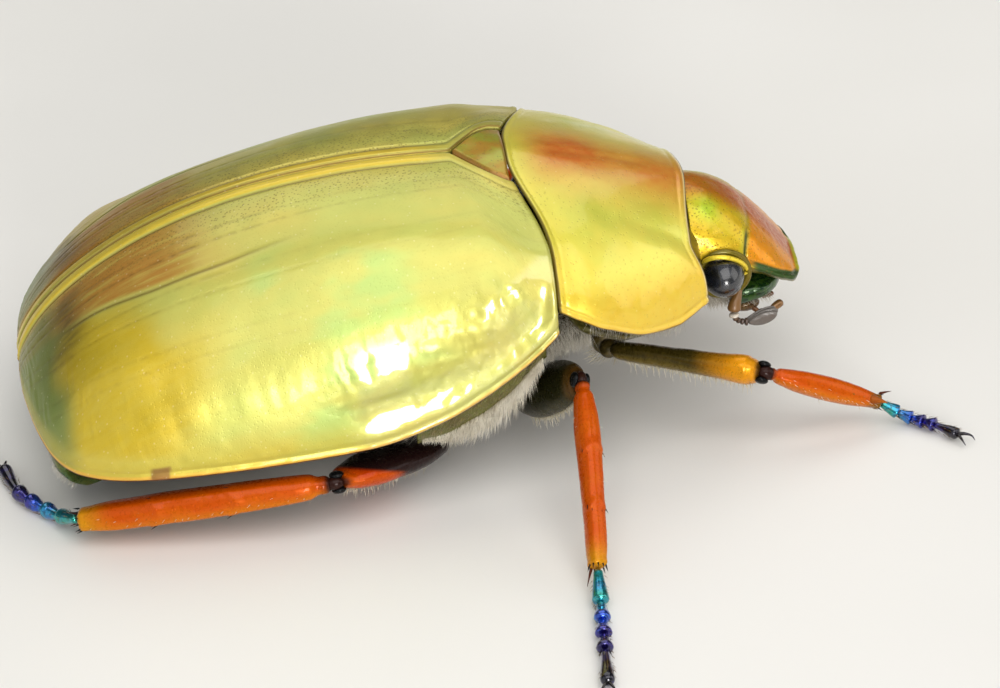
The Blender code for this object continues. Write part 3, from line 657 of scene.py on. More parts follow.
def feeler_look():
    n = Look("feeler_horn", Coat_Weight=0.4, Coat_Roughness=0.15, Coat_IOR=1.5)
    t, club = n.attr("t"), n.attr("club")
    fine = n.noise(0.10, 3.0, 0.6)
    colour = n.mix(n.span(t, 0.0, 0.5), rgb(120, 84, 40), rgb(74, 58, 48))
    colour = n.mix(n.math("MULTIPLY", club, n.span(fine, 0.3, 0.7, 0.75, 1.0)), colour, rgb(104, 98, 92))
    # painted highlight: the pale first joint after the scape stands in for a white glint on the feeler
    colour = n.mix(n.attr("pale"), colour, rgb(214, 206, 190))
    normal = n.bump(fine, 0.006, 0.9)
    return n.finish(colour, n.span(fine, 0.3, 0.7, 0.28, 0.46), normal, 0.1)


def mouth_look():
    n = Look("mouth_plates", Coat_Weight=0.6, Coat_Roughness=0.12, Coat_IOR=1.5)
    brown, pale = n.attr("brown"), n.attr("pale")
    fine = n.noise(0.18, 3.0, 0.6)
    colour = n.mix(n.span(fine, 0.35, 0.65), rgb(18, 54, 24), rgb(52, 88, 26))
    colour = n.mix(n.math("MULTIPLY", brown, n.span(fine, 0.2, 0.7, 0.8, 1.0)), colour, rgb(124, 66, 26))
    colour = n.mix(pale, colour, rgb(206, 176, 116))
    normal = n.bump(fine, 0.008, 0.9)
    return n.finish(colour, n.span(fine, 0.3, 0.7, 0.20, 0.36), normal, 0.45)


def hair_look(name, root, tip, rough=0.42):
    n = Look(name, Coat_Weight=0.1)
    t = n.attr("t")
    colour = n.mix(n.span(t, 0.0, 0.8), root, tip)
    colour = n.mix(n.span(n.noise(0.6, 2.0), 0.35, 0.65, 0.0, 0.35), colour, root)
    return n.finish(colour, n.span(n.noise(0.3), 0.3, 0.7, rough - 0.06, rough + 0.08), None, 0.0)


WING = wing_look()
PRONOTUM = pronotum_look()
HEAD = head_look()
SCUTELLUM = scutellum_look()
EYES = eye_look()
BREAST = dark_look("breast_plate", rgb(92, 88, 34), rgb(66, 58, 26), rgb(128, 112, 48), 0.45)
BREAST_SIDE = dark_look("breast_side_plate", rgb(98, 100, 36), rgb(88, 80, 30), rgb(122, 114, 48), 0.35)
BELLY = dark_look("belly_plate", rgb(44, 58, 26), rgb(64, 62, 26), rgb(92, 92, 40), 0.45)
PYGIDIUM = dark_look("pygidium_plate", rgb(62, 88, 34), rgb(86, 92, 34), rgb(120, 124, 48), 0.5, grain=0.28)
COXA = dark_look("coxa_plate", rgb(54, 52, 22), rgb(80, 66, 26), rgb(110, 92, 36), 0.42, grain=0.25)
FEMUR = leg_look("femur_shell", rgb(62, 52, 16), rgb(110, 92, 26), rgb(222, 146, 12), rgb(24, 24, 12), 0.40, rgb(150, 130, 48), (0.52, 0.90))
# painted shade: the middle femur is coloured almost black, as if it lay in the body's shadow
FEMUR_MID_SHADE = leg_look("femur_mid_shell", rgb(34, 34, 14), rgb(52, 48, 18), rgb(96, 62, 18), rgb(18, 18, 10), 0.40, rgb(96, 88, 34))
FEMUR_HIND = leg_look("femur_hind_shell", rgb(170, 50, 1), rgb(184, 70, 1), rgb(190, 82, 2), rgb(40, 34, 16), 0.18, rgb(236, 160, 40))
TIBIA = leg_look("tibia_shell", rgb(185, 72, 1), rgb(199, 108, 1), rgb(194, 132, 8), rgb(40, 16, 12), 0.18, rgb(214, 110, 14))
TARSUS = tarsus_look()
FEELER = feeler_look()
MOUTH = mouth_look()
HAIR_PALE = hair_look("hair_pale", rgb(170, 158, 120), rgb(236, 228, 206))
HAIR_FRINGE = hair_look("hair_fringe", rgb(176, 162, 128), rgb(248, 242, 226))
HAIR_PLATE = hair_look("hair_plate", rgb(104, 88, 50), rgb(168, 150, 104))
HAIR_GREY = hair_look("hair_grey", rgb(134, 124, 100), rgb(216, 210, 196))
HAIR_BROWN = hair_look("hair_brown", rgb(70, 48, 26), rgb(150, 116, 66))


# ---- wing cases -------------------------------------------------------------------------
STRIAE = ((1.72, 0.5), (2.30, 0.7), (3.85, 0.34), (4.45, 0.34), (6.0, 0.20), (6.6, 0.20), (8.1, 0.10), (8.7, 0.10))


def wing_case(name, side):
    m, c = 60, 46
    rows, cols = 4 * m + 1, 4 * c
    u, v = np.meshgrid((np.arange(rows + 1) / rows) ** 0.92, (np.arange(cols + 1) / cols) ** 1.15, indexing="ij")
    p = wing_case_point(u, v)
    # the base edge lies level with the pronotum's
    reach = np.concatenate([np.zeros((1, cols + 1)), np.cumsum(np.linalg.norm(np.diff(p, axis=0), axis=-1), axis=0)], 0)
    base = 7.0 + (PRO_BASE_Z - 7.0) * clamp(1 - clamp(p[:1, :, 1] / 6.20) ** 1.75) ** 0.58
    rise = base - p[:1, :, 2]
    rise = np.where(rise > 0, rise, 0.45 * rise) * smooth((p[:1, :, 2] - 6.6) / 0.7)
    p[..., 2] += rise * (1 - smooth(reach / 1.9))
    first = p.copy()
    step = np.linalg.norm(np.diff(p, axis=1), axis=-1)
    s = np.concatenate([np.zeros((rows + 1, 1)), np.cumsum(step, axis=1)], 1)
    whole = s[:, -1:]
    e = whole - s
    step = np.linalg.norm(np.diff(p, axis=0), axis=-1)
    run = np.concatenate([np.zeros((1, cols + 1)), np.cumsum(step, axis=0)], 0)
    left = run[-1:] - run
    x = p[..., 0]
    normal = -grid_normals(p)
    normal[-1] = (-1.0, 0, 0)
    normal[-2] = unit(normal[-3] + (-0.4, 0, 0))

    behind = smooth((-0.6 - x) / 2.2)                      # the seam proper starts at the scutellum
    tame = 0.30 + 0.70 * behind
    d = (0.050 * (1 - smooth((s - 0.34) / 0.16)) - 0.055 * hill((s - 0.57) / 0.070)) * tame
    d = d - (0.045 + 0.030 * behind) * (1 - smooth(s / (0.08 + 0.05 * behind)))
    stria = hill((s - 0.57) / 0.050) * (0.35 + 0.65 * behind)
    scale = 0.45 + 0.55 * clamp(whole / 11.2)
    inshore = 0.14 + 0.86 * smooth((-4.5 - x) / 6.0)
    for at, depth in STRIAE:
        line = hill((s - at * scale) / 0.060)
        wave = 0.5 + 0.5 * noise3(np.stack([run, s, s * 0], -1), (0.16, 2.0, 1.0), 5)
        d = d - 0.026 * depth * line * (0.6 + 0.8 * wave) * inshore
        stria = np.maximum(stria, line * depth * wave * (0.35 + 0.65 * smooth((-5.5 - x) / 6.0)) * 1.1)
    # the darker line that bounds the brown streak, which is a painted reflection
    streak = scale * (3.50 - 0.40 * smooth((-11.5 - x) / 3.0) - 0.25 * smooth((x + 9.9) / 3.5))
    line = hill((s - streak) / 0.075) * smooth((-6.0 - x) / 4.2) * smooth((x + 15.1) / 0.7)
    d = d - 0.034 * line
    stria = np.maximum(stria, 0.95 * line)
    for at, high in ((2.0, 0.012), (4.15, 0.012), (6.3, 0.010), (8.4, 0.008)):
        d = d + high * hill((s - at * scale) / 0.42) * inshore
    # side rim: a bead with a groove above it, cockled along its length
    bead = hill((e - 0.10) / 0.075)
    flatp = np.stack([run, s, s * 0 + 3.0], -1)
    cockle = noise3(flatp, (0.30, 0.5, 1.0), 11)
    fade = smooth((x + 16.2) / 2.5)
    d = d + (0.050 + 0.022 * cockle) * bead * fade - 0.040 * hill((e - 0.27) / 0.065) * fade + 0.020 * cockle * hill((e - 0.55) / 0.3) * fade
    # base edge turns down
    d = d - 0.045 * (1 - smooth(run / 0.12)) - 0.012 * hill((run - 0.26) / 0.10)
    # shoulder knob and the knob before the tip
    d = d + 0.13 * hill(np.sqrt(((x + 0.20) / 1.2) ** 2 + ((e - 3.0) / 1.05) ** 2))
    d = d + 0.20 * hill(np.sqrt(((x + 13.4) / 1.25) ** 2 + ((e - 3.6) / 1.15) ** 2))
    splash = hill((x + 4.45 + 0.18 * noise3(flatp, (0.9, 0.9, 1.0), 28)) / 1.15)
    d = d + splash * (0.070 * hill((e - 0.45) / 0.50) - 0.090 * hill((e - 1.40) / 0.65) + 0.150 * smooth((e - 1.55) / 0.40) * smooth((3.6 - e) / 1.6))
    flange = smooth((x + 5.7) / 1.0) * smooth((1.60 - x) / 0.6) * (0.80 + 0.40 * noise3(np.stack([run, s * 0, s * 0], -1), 1.1, 27)) * (0.85 + 0.40 * smooth((x + 3.6) / 1.5))
    d = d + flange * (0.085 * hill((e - 0.46) / 0.44) - 0.110 * hill((e - 1.34) / 0.80))
    # crumpled flank below the shoulder
    flank = smooth((x + 7.6) / 2.6) * smooth((1.3 - x) / 1.5) * smooth((e - 0.70) / 0.8) * smooth((4.7 - e) / 2.0) * (1 - 0.55 * splash)
    ridge = 1 - np.sqrt(noise3(flatp, (0.36, 1.05, 1.0), 21) ** 2 + 0.010) * 2
    ridge2 = 1 - np.sqrt(noise3(flatp + 7.0, (0.19, 0.42, 1.0), 22) ** 2 + 0.006) * 2
    cross = noise3(flatp, (0.8, 0.8, 1.0), 23)
    d = d + flank * (0.048 * ridge * (0.7 + 0.6 * cross) + 0.026 * ridge2)
    aft = smooth((-6.2 - x) / 1.5) * smooth((x + 13.4) / 2.0) * smooth((e - 0.4) / 0.6) * smooth((4.8 - e) / 2.0)
    d = d + aft * (0.018 * noise3(flatp, (0.62, 2.6, 1.0), 24) + 0.006 * noise3(flatp, (0.30, 1.4, 1.0), 25))
    rear = smooth((-11.6 - x) / 2.0) * smooth((5.2 - e) / 3.0) * smooth((e - 0.5) / 0.6)
    d = d + rear * 0.012 * (1 - np.abs(noise3(flatp, (0.28, 0.95, 1.0), 31)) * 2)
    d = d + 0.022 * noise3(flatp, (2.6, 1.9, 1.0), 41) + 0.006 * noise3(flatp, (0.7, 0.6, 1.0), 42)
    d = d * smooth(left / 0.45)
    p = p + normal * d[..., None]
    p[..., 1] = np.maximum(p[..., 1], SEAM * 0.9)
    p[-1, :] = (X_APEX, SEAM, float(first[-1, 0, 2]))

    coarse = first[:-1:4, ::4].copy()
    inward = normal[:-1:4, ::4]
    thin = 0.40 * clamp((1 - u[:-1:4, ::4]) / 0.10) ** 0.5
    inner = coarse - inward * thin[..., None]
    inner[..., 1] = np.maximum(inner[..., 1], SEAM)
    inner[:, 0, 1] = p[:-1:4, 0, 1]
    inner[:, -1, 2] = p[:-1:4, -1, 2] + 0.03
    out = np.arange((rows) * (cols + 1)).reshape(rows, cols + 1)
    inn = out.size + np.arange(inner.shape[0] * inner.shape[1]).reshape(inner.shape[:2])
    pole, pole_in = inn[-1, -1] + 1, inn[-1, -1] + 2
    points = np.concatenate([p[:-1].reshape(-1, 3), inner.reshape(-1, 3), [p[-1, 0]], [p[-1, 0] + (0.40, 0, 0.08)]])
    quads = np.concatenate([
        np.stack([out[:-1, :-1], out[:-1, 1:], out[1:, 1:], out[1:, :-1]], -1).reshape(-1, 4),
        np.stack([inn[:-1, :-1], inn[1:, :-1], inn[1:, 1:], inn[:-1, 1:]], -1).reshape(-1, 4),
        [[out[-1, 0], pole, pole_in, inn[-1, 0]], [pole, out[-1, -1], inn[-1, -1], pole_in]]])
    tris = np.concatenate([
        np.stack([out[-1, :-1], out[-1, 1:], np.full(cols, pole)], -1),
        np.stack([inn[-1, :-1], np.full(c, pole_in), inn[-1, 1:]], -1)])
    strips = [[out[0, 4 * k + 4], out[0, 4 * k + 3], out[0, 4 * k + 2], out[0, 4 * k + 1], out[0, 4 * k], inn[0, k], inn[0, k + 1]]
              for k in range(c)]
    for k in range(m):
        strips.append([out[4 * k, 0], out[4 * k + 1, 0], out[4 * k + 2, 0], out[4 * k + 3, 0], out[4 * k + 4, 0], inn[k + 1, 0], inn[k, 0]])
        strips.append([out[4 * k + 4, -1], out[4 * k + 3, -1], out[4 * k + 2, -1], out[4 * k + 1, -1], out[4 * k, -1], inn[k, -1], inn[k + 1, -1]])

    # where each tint lies; the grey-green rear and the brown streak are painted reflections
    wave = noise3(flatp, (2.2, 1.3, 1.0), 51)
    # painted reflection: the pale grey-green rear end is mirrored surroundings put into the colour
    sage = smooth((-14.75 - x + 0.35 * wave) / 0.95) * smooth((s - 0.5) / 0.5) * (0.55 + 0.45 * smooth((e - 0.4) / 0.8))
    # painted reflection: brown streaks mirrored beside the seam towards the rear
    brown = smooth((-7.2 - x + 1.2 * wave) / 5.0) * smooth((streak - 0.02 - s) / 0.30) * smooth((s - 0.45) / 0.2) * (1 - 0.8 * sage)
    smudge = hill((x + 14.85 - 0.25 * wave) / 0.85) * smooth((s - 0.6) / 0.8) * smooth((5.2 + 0.5 * wave - s) / 2.2)
    gold = smooth((-8.6 - x + wave) / 3.4) * smooth((e - 0.2) / 1.0) * smooth((6.2 + 2.2 * smooth((-11.0 - x) / 2.4) + wave - e) / 2.6) * smooth((s - streak + 0.1) / 0.35) * (1 - smooth((-15.4 - x + 0.3 * wave) / 1.2))
    gold = np.maximum(gold, 0.65 * smooth((1.6 - e) / 1.2) * smooth((-1.5 - x) / 3.0))
    green = smooth((5.0 - np.abs(x + 5.6 + wave)) / 3.4) * smooth((s - 2.4) / 2.0)
    olive = 0.35 * smooth((x + 0.8) / 1.8) * smooth((3.2 - e) / 2.4)

    gloss = smooth((x + 6.2) / 1.5) * smooth((2.0 - e) / 0.5)
    gloss = np.maximum(gloss, smooth((1.15 - np.abs(x + 4.45)) / 0.5) * smooth((3.9 - e) / 0.8))
    gloss = np.maximum(gloss, smooth((x + 1.3) / 0.8) * smooth((e - 1.5) / 0.5) * smooth((3.5 - e) / 0.6))
    mark = 0.8 * smooth((0.42 - np.abs(x + 12.25 + 0.15 * wave)) / 0.12) * smooth((0.62 + 0.15 * wave - e) / 0.15) * (side < 0)

    def both(field, inside=0.0):
        return np.concatenate([field[:-1].ravel(), np.full(inner.shape[0] * inner.shape[1], inside), [field[-1, 0]], [inside]])

    flat = np.concatenate([np.stack([run, s, s * 0 + side], -1)[:-1].reshape(-1, 3), np.zeros((inner.shape[0] * inner.shape[1] + 2, 3))])
    piece = Piece(name)
    piece.add(points, [quads, tris, np.array(strips)], flat=flat, sut=both(s, 5.0), edge=both(e, 5.0), stria=both(stria * smooth(left / 0.5)),
              brown=both(brown), smudge=both(smudge), gloss=both(gloss), gold=both(gold), mark=both(mark), metal=both(s * 0 + (0.40 if side < 0 else 0.68), 0.4), sage=both(sage), green=both(green), olive=both(olive), band=both(0.15 + 0.65 * behind), under=both(s * 0, 1.0))
    return piece.done(WING, "wing_case", name, mirror=side < 0)


wing_case("wing_case_right", -1)
wing_case("wing_case_left", 1)


def scutellum():
    rows, cols = 44, 60
    f = np.linspace(0.0, 1.0, rows)
    f = 0.03 + 0.97 * (1 - (1 - f) ** 1.2)
    x = X_SCUT_TIP + (0.62 - GAP - X_SCUT_TIP) * f + 0.10
    w = np.maximum(inner_edge(x) - SEAM - 1.7 * GAP, 0.05)
    k = np.sin(np.linspace(-1, 1, cols) * math.pi / 2)
    y = w[:, None] * k
    xs = np.broadcast_to(x[:, None], y.shape)
    r = np.abs(k)[None]
    edge = np.minimum(w[:, None] * (1 - r), (0.72 - xs) * 1.0)
    top = back_z(xs, y) + 0.07 - 0.09 * (1 - smooth(edge / 0.16)) + 0.010 * noise3(np.stack([xs, y, y * 0], -1), 0.5, 3)
    low = back_z(xs, y) - 0.40
    rings = np.concatenate([np.stack([xs, y, top], -1), np.stack([xs, y * 0.96, low], -1)[:, ::-4]], 1)
    marks = np.concatenate([edge, np.full((rows, rings.shape[1] - cols), 0.5)], 1).ravel()
    points, blocks = tubed(rings)
    Piece("scutellum_shell").add(points, blocks, edge=np.concatenate([marks, [0.0, 0.0]])).done(SCUTELLUM, "scutellum", "scutellum")


scutellum()


def pronotum():
    rows, cols, below = 150, 210, 40
    t = np.linspace(0, 1, rows)[:, None]
    arc = np.sin(np.linspace(-1, 1, cols) * math.pi / 2)[None]
    w = pro_half_width(t)
    # rounder in plan than the solid's own straight runs
    w = w * 0.35 + 0.65 * eased(t, ((0, 6.20), (0.25, 6.24), (0.52, 5.76), (0.78, 4.86), (1, 3.92)))
    y = w * arc
    x = pro_x(np.broadcast_to(t, y.shape), y)
    top = PRO_BASE_Z + (PRO_FRONT_Z - PRO_BASE_Z) * t + PRO_CROWN * 4 * t * (1 - t) * (1 - 0.15 * t)
    margin = 0.35 * pro_margin_z(t) + 0.65 * eased(t, ((0, 7.00), (0.12, 6.62), (0.30, 6.06), (0.52, 5.45), (0.78, 5.10), (1, 5.26)))
    n, power = 1.75 + 0.40 * t, 0.58 - 0.08 * t
    z = margin + (top - margin) * (1 - np.abs(arc) ** n) ** power
    p = np.stack([x, y, z], -1)
    step = np.linalg.norm(np.diff(p, axis=1), axis=-1)
    s = np.concatenate([np.zeros((rows, 1)), np.cumsum(step, 1)], 1)
    e = np.minimum(s, s[:, -1:] - s)
    step = np.linalg.norm(np.diff(p, axis=0), axis=-1)
    run = np.concatenate([np.zeros((1, cols)), np.cumsum(step, 0)], 0)
    ahead = run[-1:] - run
    normal = grid_normals(p)
    normal *= np.sign(normal[..., 2:3].mean())
    d = 0.034 * hill((e - 0.09) / 0.07) - 0.030 * hill((e - 0.22) / 0.06)
    d = d + 0.016 * hill((run - 0.10) / 0.08) * smooth((e - 0.2) / 0.5) - 0.014 * hill((run - 0.26) / 0.07)
    d = d - 0.05 * (1 - smooth(run / 0.08))
    d = d + 0.012 * hill((ahead - 0.20) / 0.07) - 0.035 * (1 - smooth((ahead - 0.03) / 0.10)) - 0.010 * hill((ahead - 0.34) / 0.07)
    d = d - 0.020 * hill(y / 0.25) * smooth((run - 0.6) / 1.0) * smooth((ahead - 1.0) / 1.2)
    d = d + 0.018 * noise3(p, (1.8, 1.8, 1.8), 61) + 0.006 * noise3(p, 0.6, 62)
    side = smooth((2.4 - e) / 1.8)
    d = d + side * 0.012 * (1 - 2 * np.abs(noise3(p, (0.34, 0.6, 0.5), 63)))
    p = p + normal * d[..., None]
    yb = (w * np.linspace(1, -1, below + 2)[None, 1:-1]) * 0.965
    low = margin - 0.30 - 0.12 * (1 - (yb / w) ** 2)
    under = np.stack([pro_x(np.broadcast_to(t, yb.shape), yb), yb, np.broadcast_to(low, yb.shape)], -1)
    rings = np.concatenate([p, under], 1)
    wave = noise3(p, 1.5, 65)
    gold = smooth((3.4 + 0.7 * wave - e) / 2.4)
    strong = 0.64 + 0.46 * hill((x - 2.75 + 0.25 * wave) / 1.5) + 0.26 * hill((x - 5.9) / 1.2)
    orange = clamp(strong * hill((y - 0.02 + 0.25 * wave + 0.10 * (x - 2.7)) / 1.75) * smooth((x - 0.85 + 0.30 * wave) / 1.6))
    green = 0.7 * hill(np.sqrt(((x - 3.0) / 1.3) ** 2 + ((np.abs(y) - 3.0) / 0.9) ** 2)) + 0.5 * hill(np.sqrt(((x - 5.6) / 0.6) ** 2 + ((np.abs(y) - 2.5) / 0.8) ** 2))

    def wide(field, fill):
        return np.concatenate([np.concatenate([field, np.full((rows, below), fill)], 1).ravel(), np.full(cols + below + 2, fill)])

    middle = rings[-1].mean(0)
    recess = middle + (rings[-1] - middle) * (1.0, 0.955, 0.93) - (0.10, 0, 0)
    points, blocks = tubed(np.concatenate([rings, recess[None]]), (0.0, -0.45))
    Piece("pronotum_shell").add(points, blocks, edge=wide(e, 3.0), base=wide(run, 3.0), front=wide(ahead, 3.0), gold=wide(gold, 0.0),
                                orange=wide(orange, 0.0), green=wide(green, 0.0), under=wide(e * 0, 1.0)).done(PRONOTUM, "pronotum", "pronotum")


pronotum()


# ---- head --------------------------------------------------------------------------------
def head_top(x):
    return eased((x - HEAD_X0) / (HEAD_X1 - HEAD_X0), ((0, 7.88), (0.28, 7.62), (0.52, 6.94), (0.74, 5.88), (0.90, 4.94), (1, 4.34)))


def head_edge(x):
    return eased((x - HEAD_X0) / (HEAD_X1 - HEAD_X0), ((0, 5.60), (0.28, 5.62), (0.52, 5.38), (0.74, 4.86), (0.90, 4.42), (1, 4.18)))


def head_half_width(x):
    return eased((x - HEAD_X0) / (HEAD_X1 - HEAD_X0), ((0, HEAD_W), (0.36, HEAD_W), (0.5, 2.20), (0.66, 2.12), (0.86, 1.84), (0.96, 1.40), (1, 0.80)))


def head():
    rows, cols, below = 130, 150, 36
    f = np.linspace(0, 1, rows)[:, None]
    f = 1 - (1 - f) ** 1.25
    x = HEAD_X0 + 0.35 + (HEAD_X1 - HEAD_X0 - 0.35) * f
    w, top, edge = head_half_width(x), head_top(x), head_edge(x)
    arc = np.sin(np.linspace(-1, 1, cols) * math.pi / 2)[None]
    y = w * arc
    z = edge + (top - edge) * (1 - np.abs(arc) ** 2.4) ** 0.55
    p = np.stack([np.broadcast_to(x, y.shape), y, z], -1)
    xs = p[..., 0]
    step = np.linalg.norm(np.diff(p, axis=1), axis=-1)
    s = np.concatenate([np.zeros((rows, 1)), np.cumsum(step, 1)], 1)
    e = np.minimum(s, s[:, -1:] - s)
    ahead = (HEAD_X1 - xs) * 1.3
    rimmed = np.minimum(e, ahead)
    normal = grid_normals(p)
    normal *= np.sign(normal[..., 2:3].mean())
    line = 8.86 - 0.34 * (np.abs(y) / 2.1) ** 2.5           # suture between forehead and clypeus
    gap = (xs - line)
    seam = hill(gap / 0.060)
    front = smooth((xs - 8.5) / 0.5)
    seam = seam * (0.22 + 0.78 * smooth((np.abs(y) - 1.25) / 0.4))
    d = -0.045 * seam - 0.02 * hill(gap / 0.25)
    d = d + front * (0.055 * hill((rimmed - 0.07) / 0.075) - 0.035 * hill((rimmed - 0.24) / 0.09))
    d = d + 0.018 * noise3(p, 0.9, 71) + 0.008 * noise3(p, 0.22, 72)
    d = d + 0.006 * front * (1 - 2 * np.abs(noise3(p, 0.26, 73)))
    p = p + normal * d[..., None]
    fb = np.broadcast_to(f, (rows, below))
    low = along(f, ((0, 4.35), (0.30, 4.25), (0.55, 4.35), (0.62, 4.72), (0.80, 4.42), (1, 4.06)))
    k = np.linspace(1, -1, below + 2)[None, 1:-1]
    yb = w * k * 0.94
    zb = np.minimum(low + (edge - 0.22 - low) * np.abs(k) ** 2.2, edge - 0.12)
    under = np.stack([np.broadcast_to(x, yb.shape), yb, np.broadcast_to(zb, yb.shape)], -1)
    rings = np.concatenate([p, under], 1)
    wave = noise3(p, 0.8, 75)
    green = 0.9 * hill(np.sqrt(((xs - 7.35) / 0.45) ** 2 + ((np.abs(y) - 1.25) / 0.42) ** 2)) + 0.35 * hill((gap + 0.12) / 0.08) * smooth((np.abs(y) - 1.1) / 0.5)
    orange = clamp(1.15 - (np.abs(y) / (0.80 + 0.10 * wave)) ** 2 * 0.75) * smooth((xs - 6.1) / 0.8) * (0.84 + 0.16 * smooth((xs - 7.4) / 1.2))
    clypeus = smooth(gap / 0.16)
    rim = front * smooth((0.20 - rimmed) / 0.08)
    lip = front * smooth((0.36 - e) / 0.10) * smooth((np.abs(y) - 0.9) / 0.4)

    def wide(field, fill):
        return np.concatenate([np.concatenate([field, np.full((rows, below), fill)], 1).ravel(), [fill, fill]])

    piece = Piece("head_shell")
    points, blocks = tubed(rings)
    piece.add(points, blocks, green=wide(clamp(green), 0.0), orange=wide(clamp(orange), 0.0), clypeus=wide(clypeus, 0.0), lip=wide(lip, 0.0), seam=wide(seam, 0.0), rim=wide(rim, 0.0),
              dark=wide(e * 0, 0.85))
    for side in (-1, 1):
        # the ledge that runs into the eye, and the raised ring of the socket
        path = curve([(6.98, side * 2.30, 5.85), (7.30, side * 2.50, 6.10), (7.78, side * 2.58, 6.12), (8.22, side * 2.48, 5.86),
                      (8.52, side * 2.28, 5.42), (8.62, side * 2.10, 5.02)], 40)
        q = np.linspace(0, 1, 40)
        full = rounded(q, 0.12, 0.12)
        rings2, _ = limb(path, 0.10 * full, 0.085 * full, (0, side, 0.25), 20)
        points, blocks = tubed(rings2)
        piece.add(points, blocks, canthus=1.0)
        ledge = curve([(8.60, side * 2.02, 5.10), (8.32, side * 2.42, 5.28), (8.05, side * 2.80, 5.34), (7.86, side * 3.02, 5.36)], 24)
        q = np.linspace(0, 1, 24)
        rings2, _ = limb(ledge, 0.15 * rounded(q, 0.1, 0.25), 0.065 * rounded(q, 0.1, 0.25), (1, side * 0.4, 0.0), 18)
        points, blocks = tubed(rings2)
        piece.add(points, blocks, canthus=1.0)
        socket = np.linspace(0.1, 2 * math.pi + 0.1, 48, endpoint=False)
        path = np.stack([7.72 + 0.86 * np.cos(socket), side * (2.26 + 0.02 * np.sin(socket)), 5.27 + 0.86 * np.sin(socket)], -1)
        closed = np.concatenate([path, path[:1]])
        rings2, _ = limb(closed[:-1], 0.10, 0.13, (0, side, 0), 12)
        size = rings2.shape[1]
        index = np.arange(48 * size).reshape(48, size)
        nxt = np.roll(index, -1, 0)
        quads = np.stack([index, np.roll(index, -1, 1), np.roll(nxt, -1, 1), nxt], -1).reshape(-1, 4)
        piece.add(rings2.reshape(-1, 3), [quads], dark=0.75)
    piece.done(HEAD, "head", "head")


head()


def eye(name, side):
    rows, sides = 60, 96
    f = np.linspace(0.0, 1.0, rows)
    angle = f * math.pi / 2 * 1.0
    r = np.cos(angle)
    out = np.sin(angle)
    k = 2 * math.pi * np.arange(sides) / sides
    rings = np.stack([EYE[0] + 0.77 * r[:, None] * np.cos(k), side * (EYE[1] - 0.05 + 1.16 * out[:, None] + 0 * k), EYE[2] + 0.79 * r[:, None] * np.sin(k)], -1)
    rings[-1] = (EYE[0], side * (EYE[1] - 0.05 + 1.16), EYE[2])
    points, blocks = tubed(rings[:-1], (0.0, 0.012))
    Piece(name + "_globe").add(points, blocks).done(EYES, "eye", name)


eye("eye_right", -1)
eye("eye_left", 1)


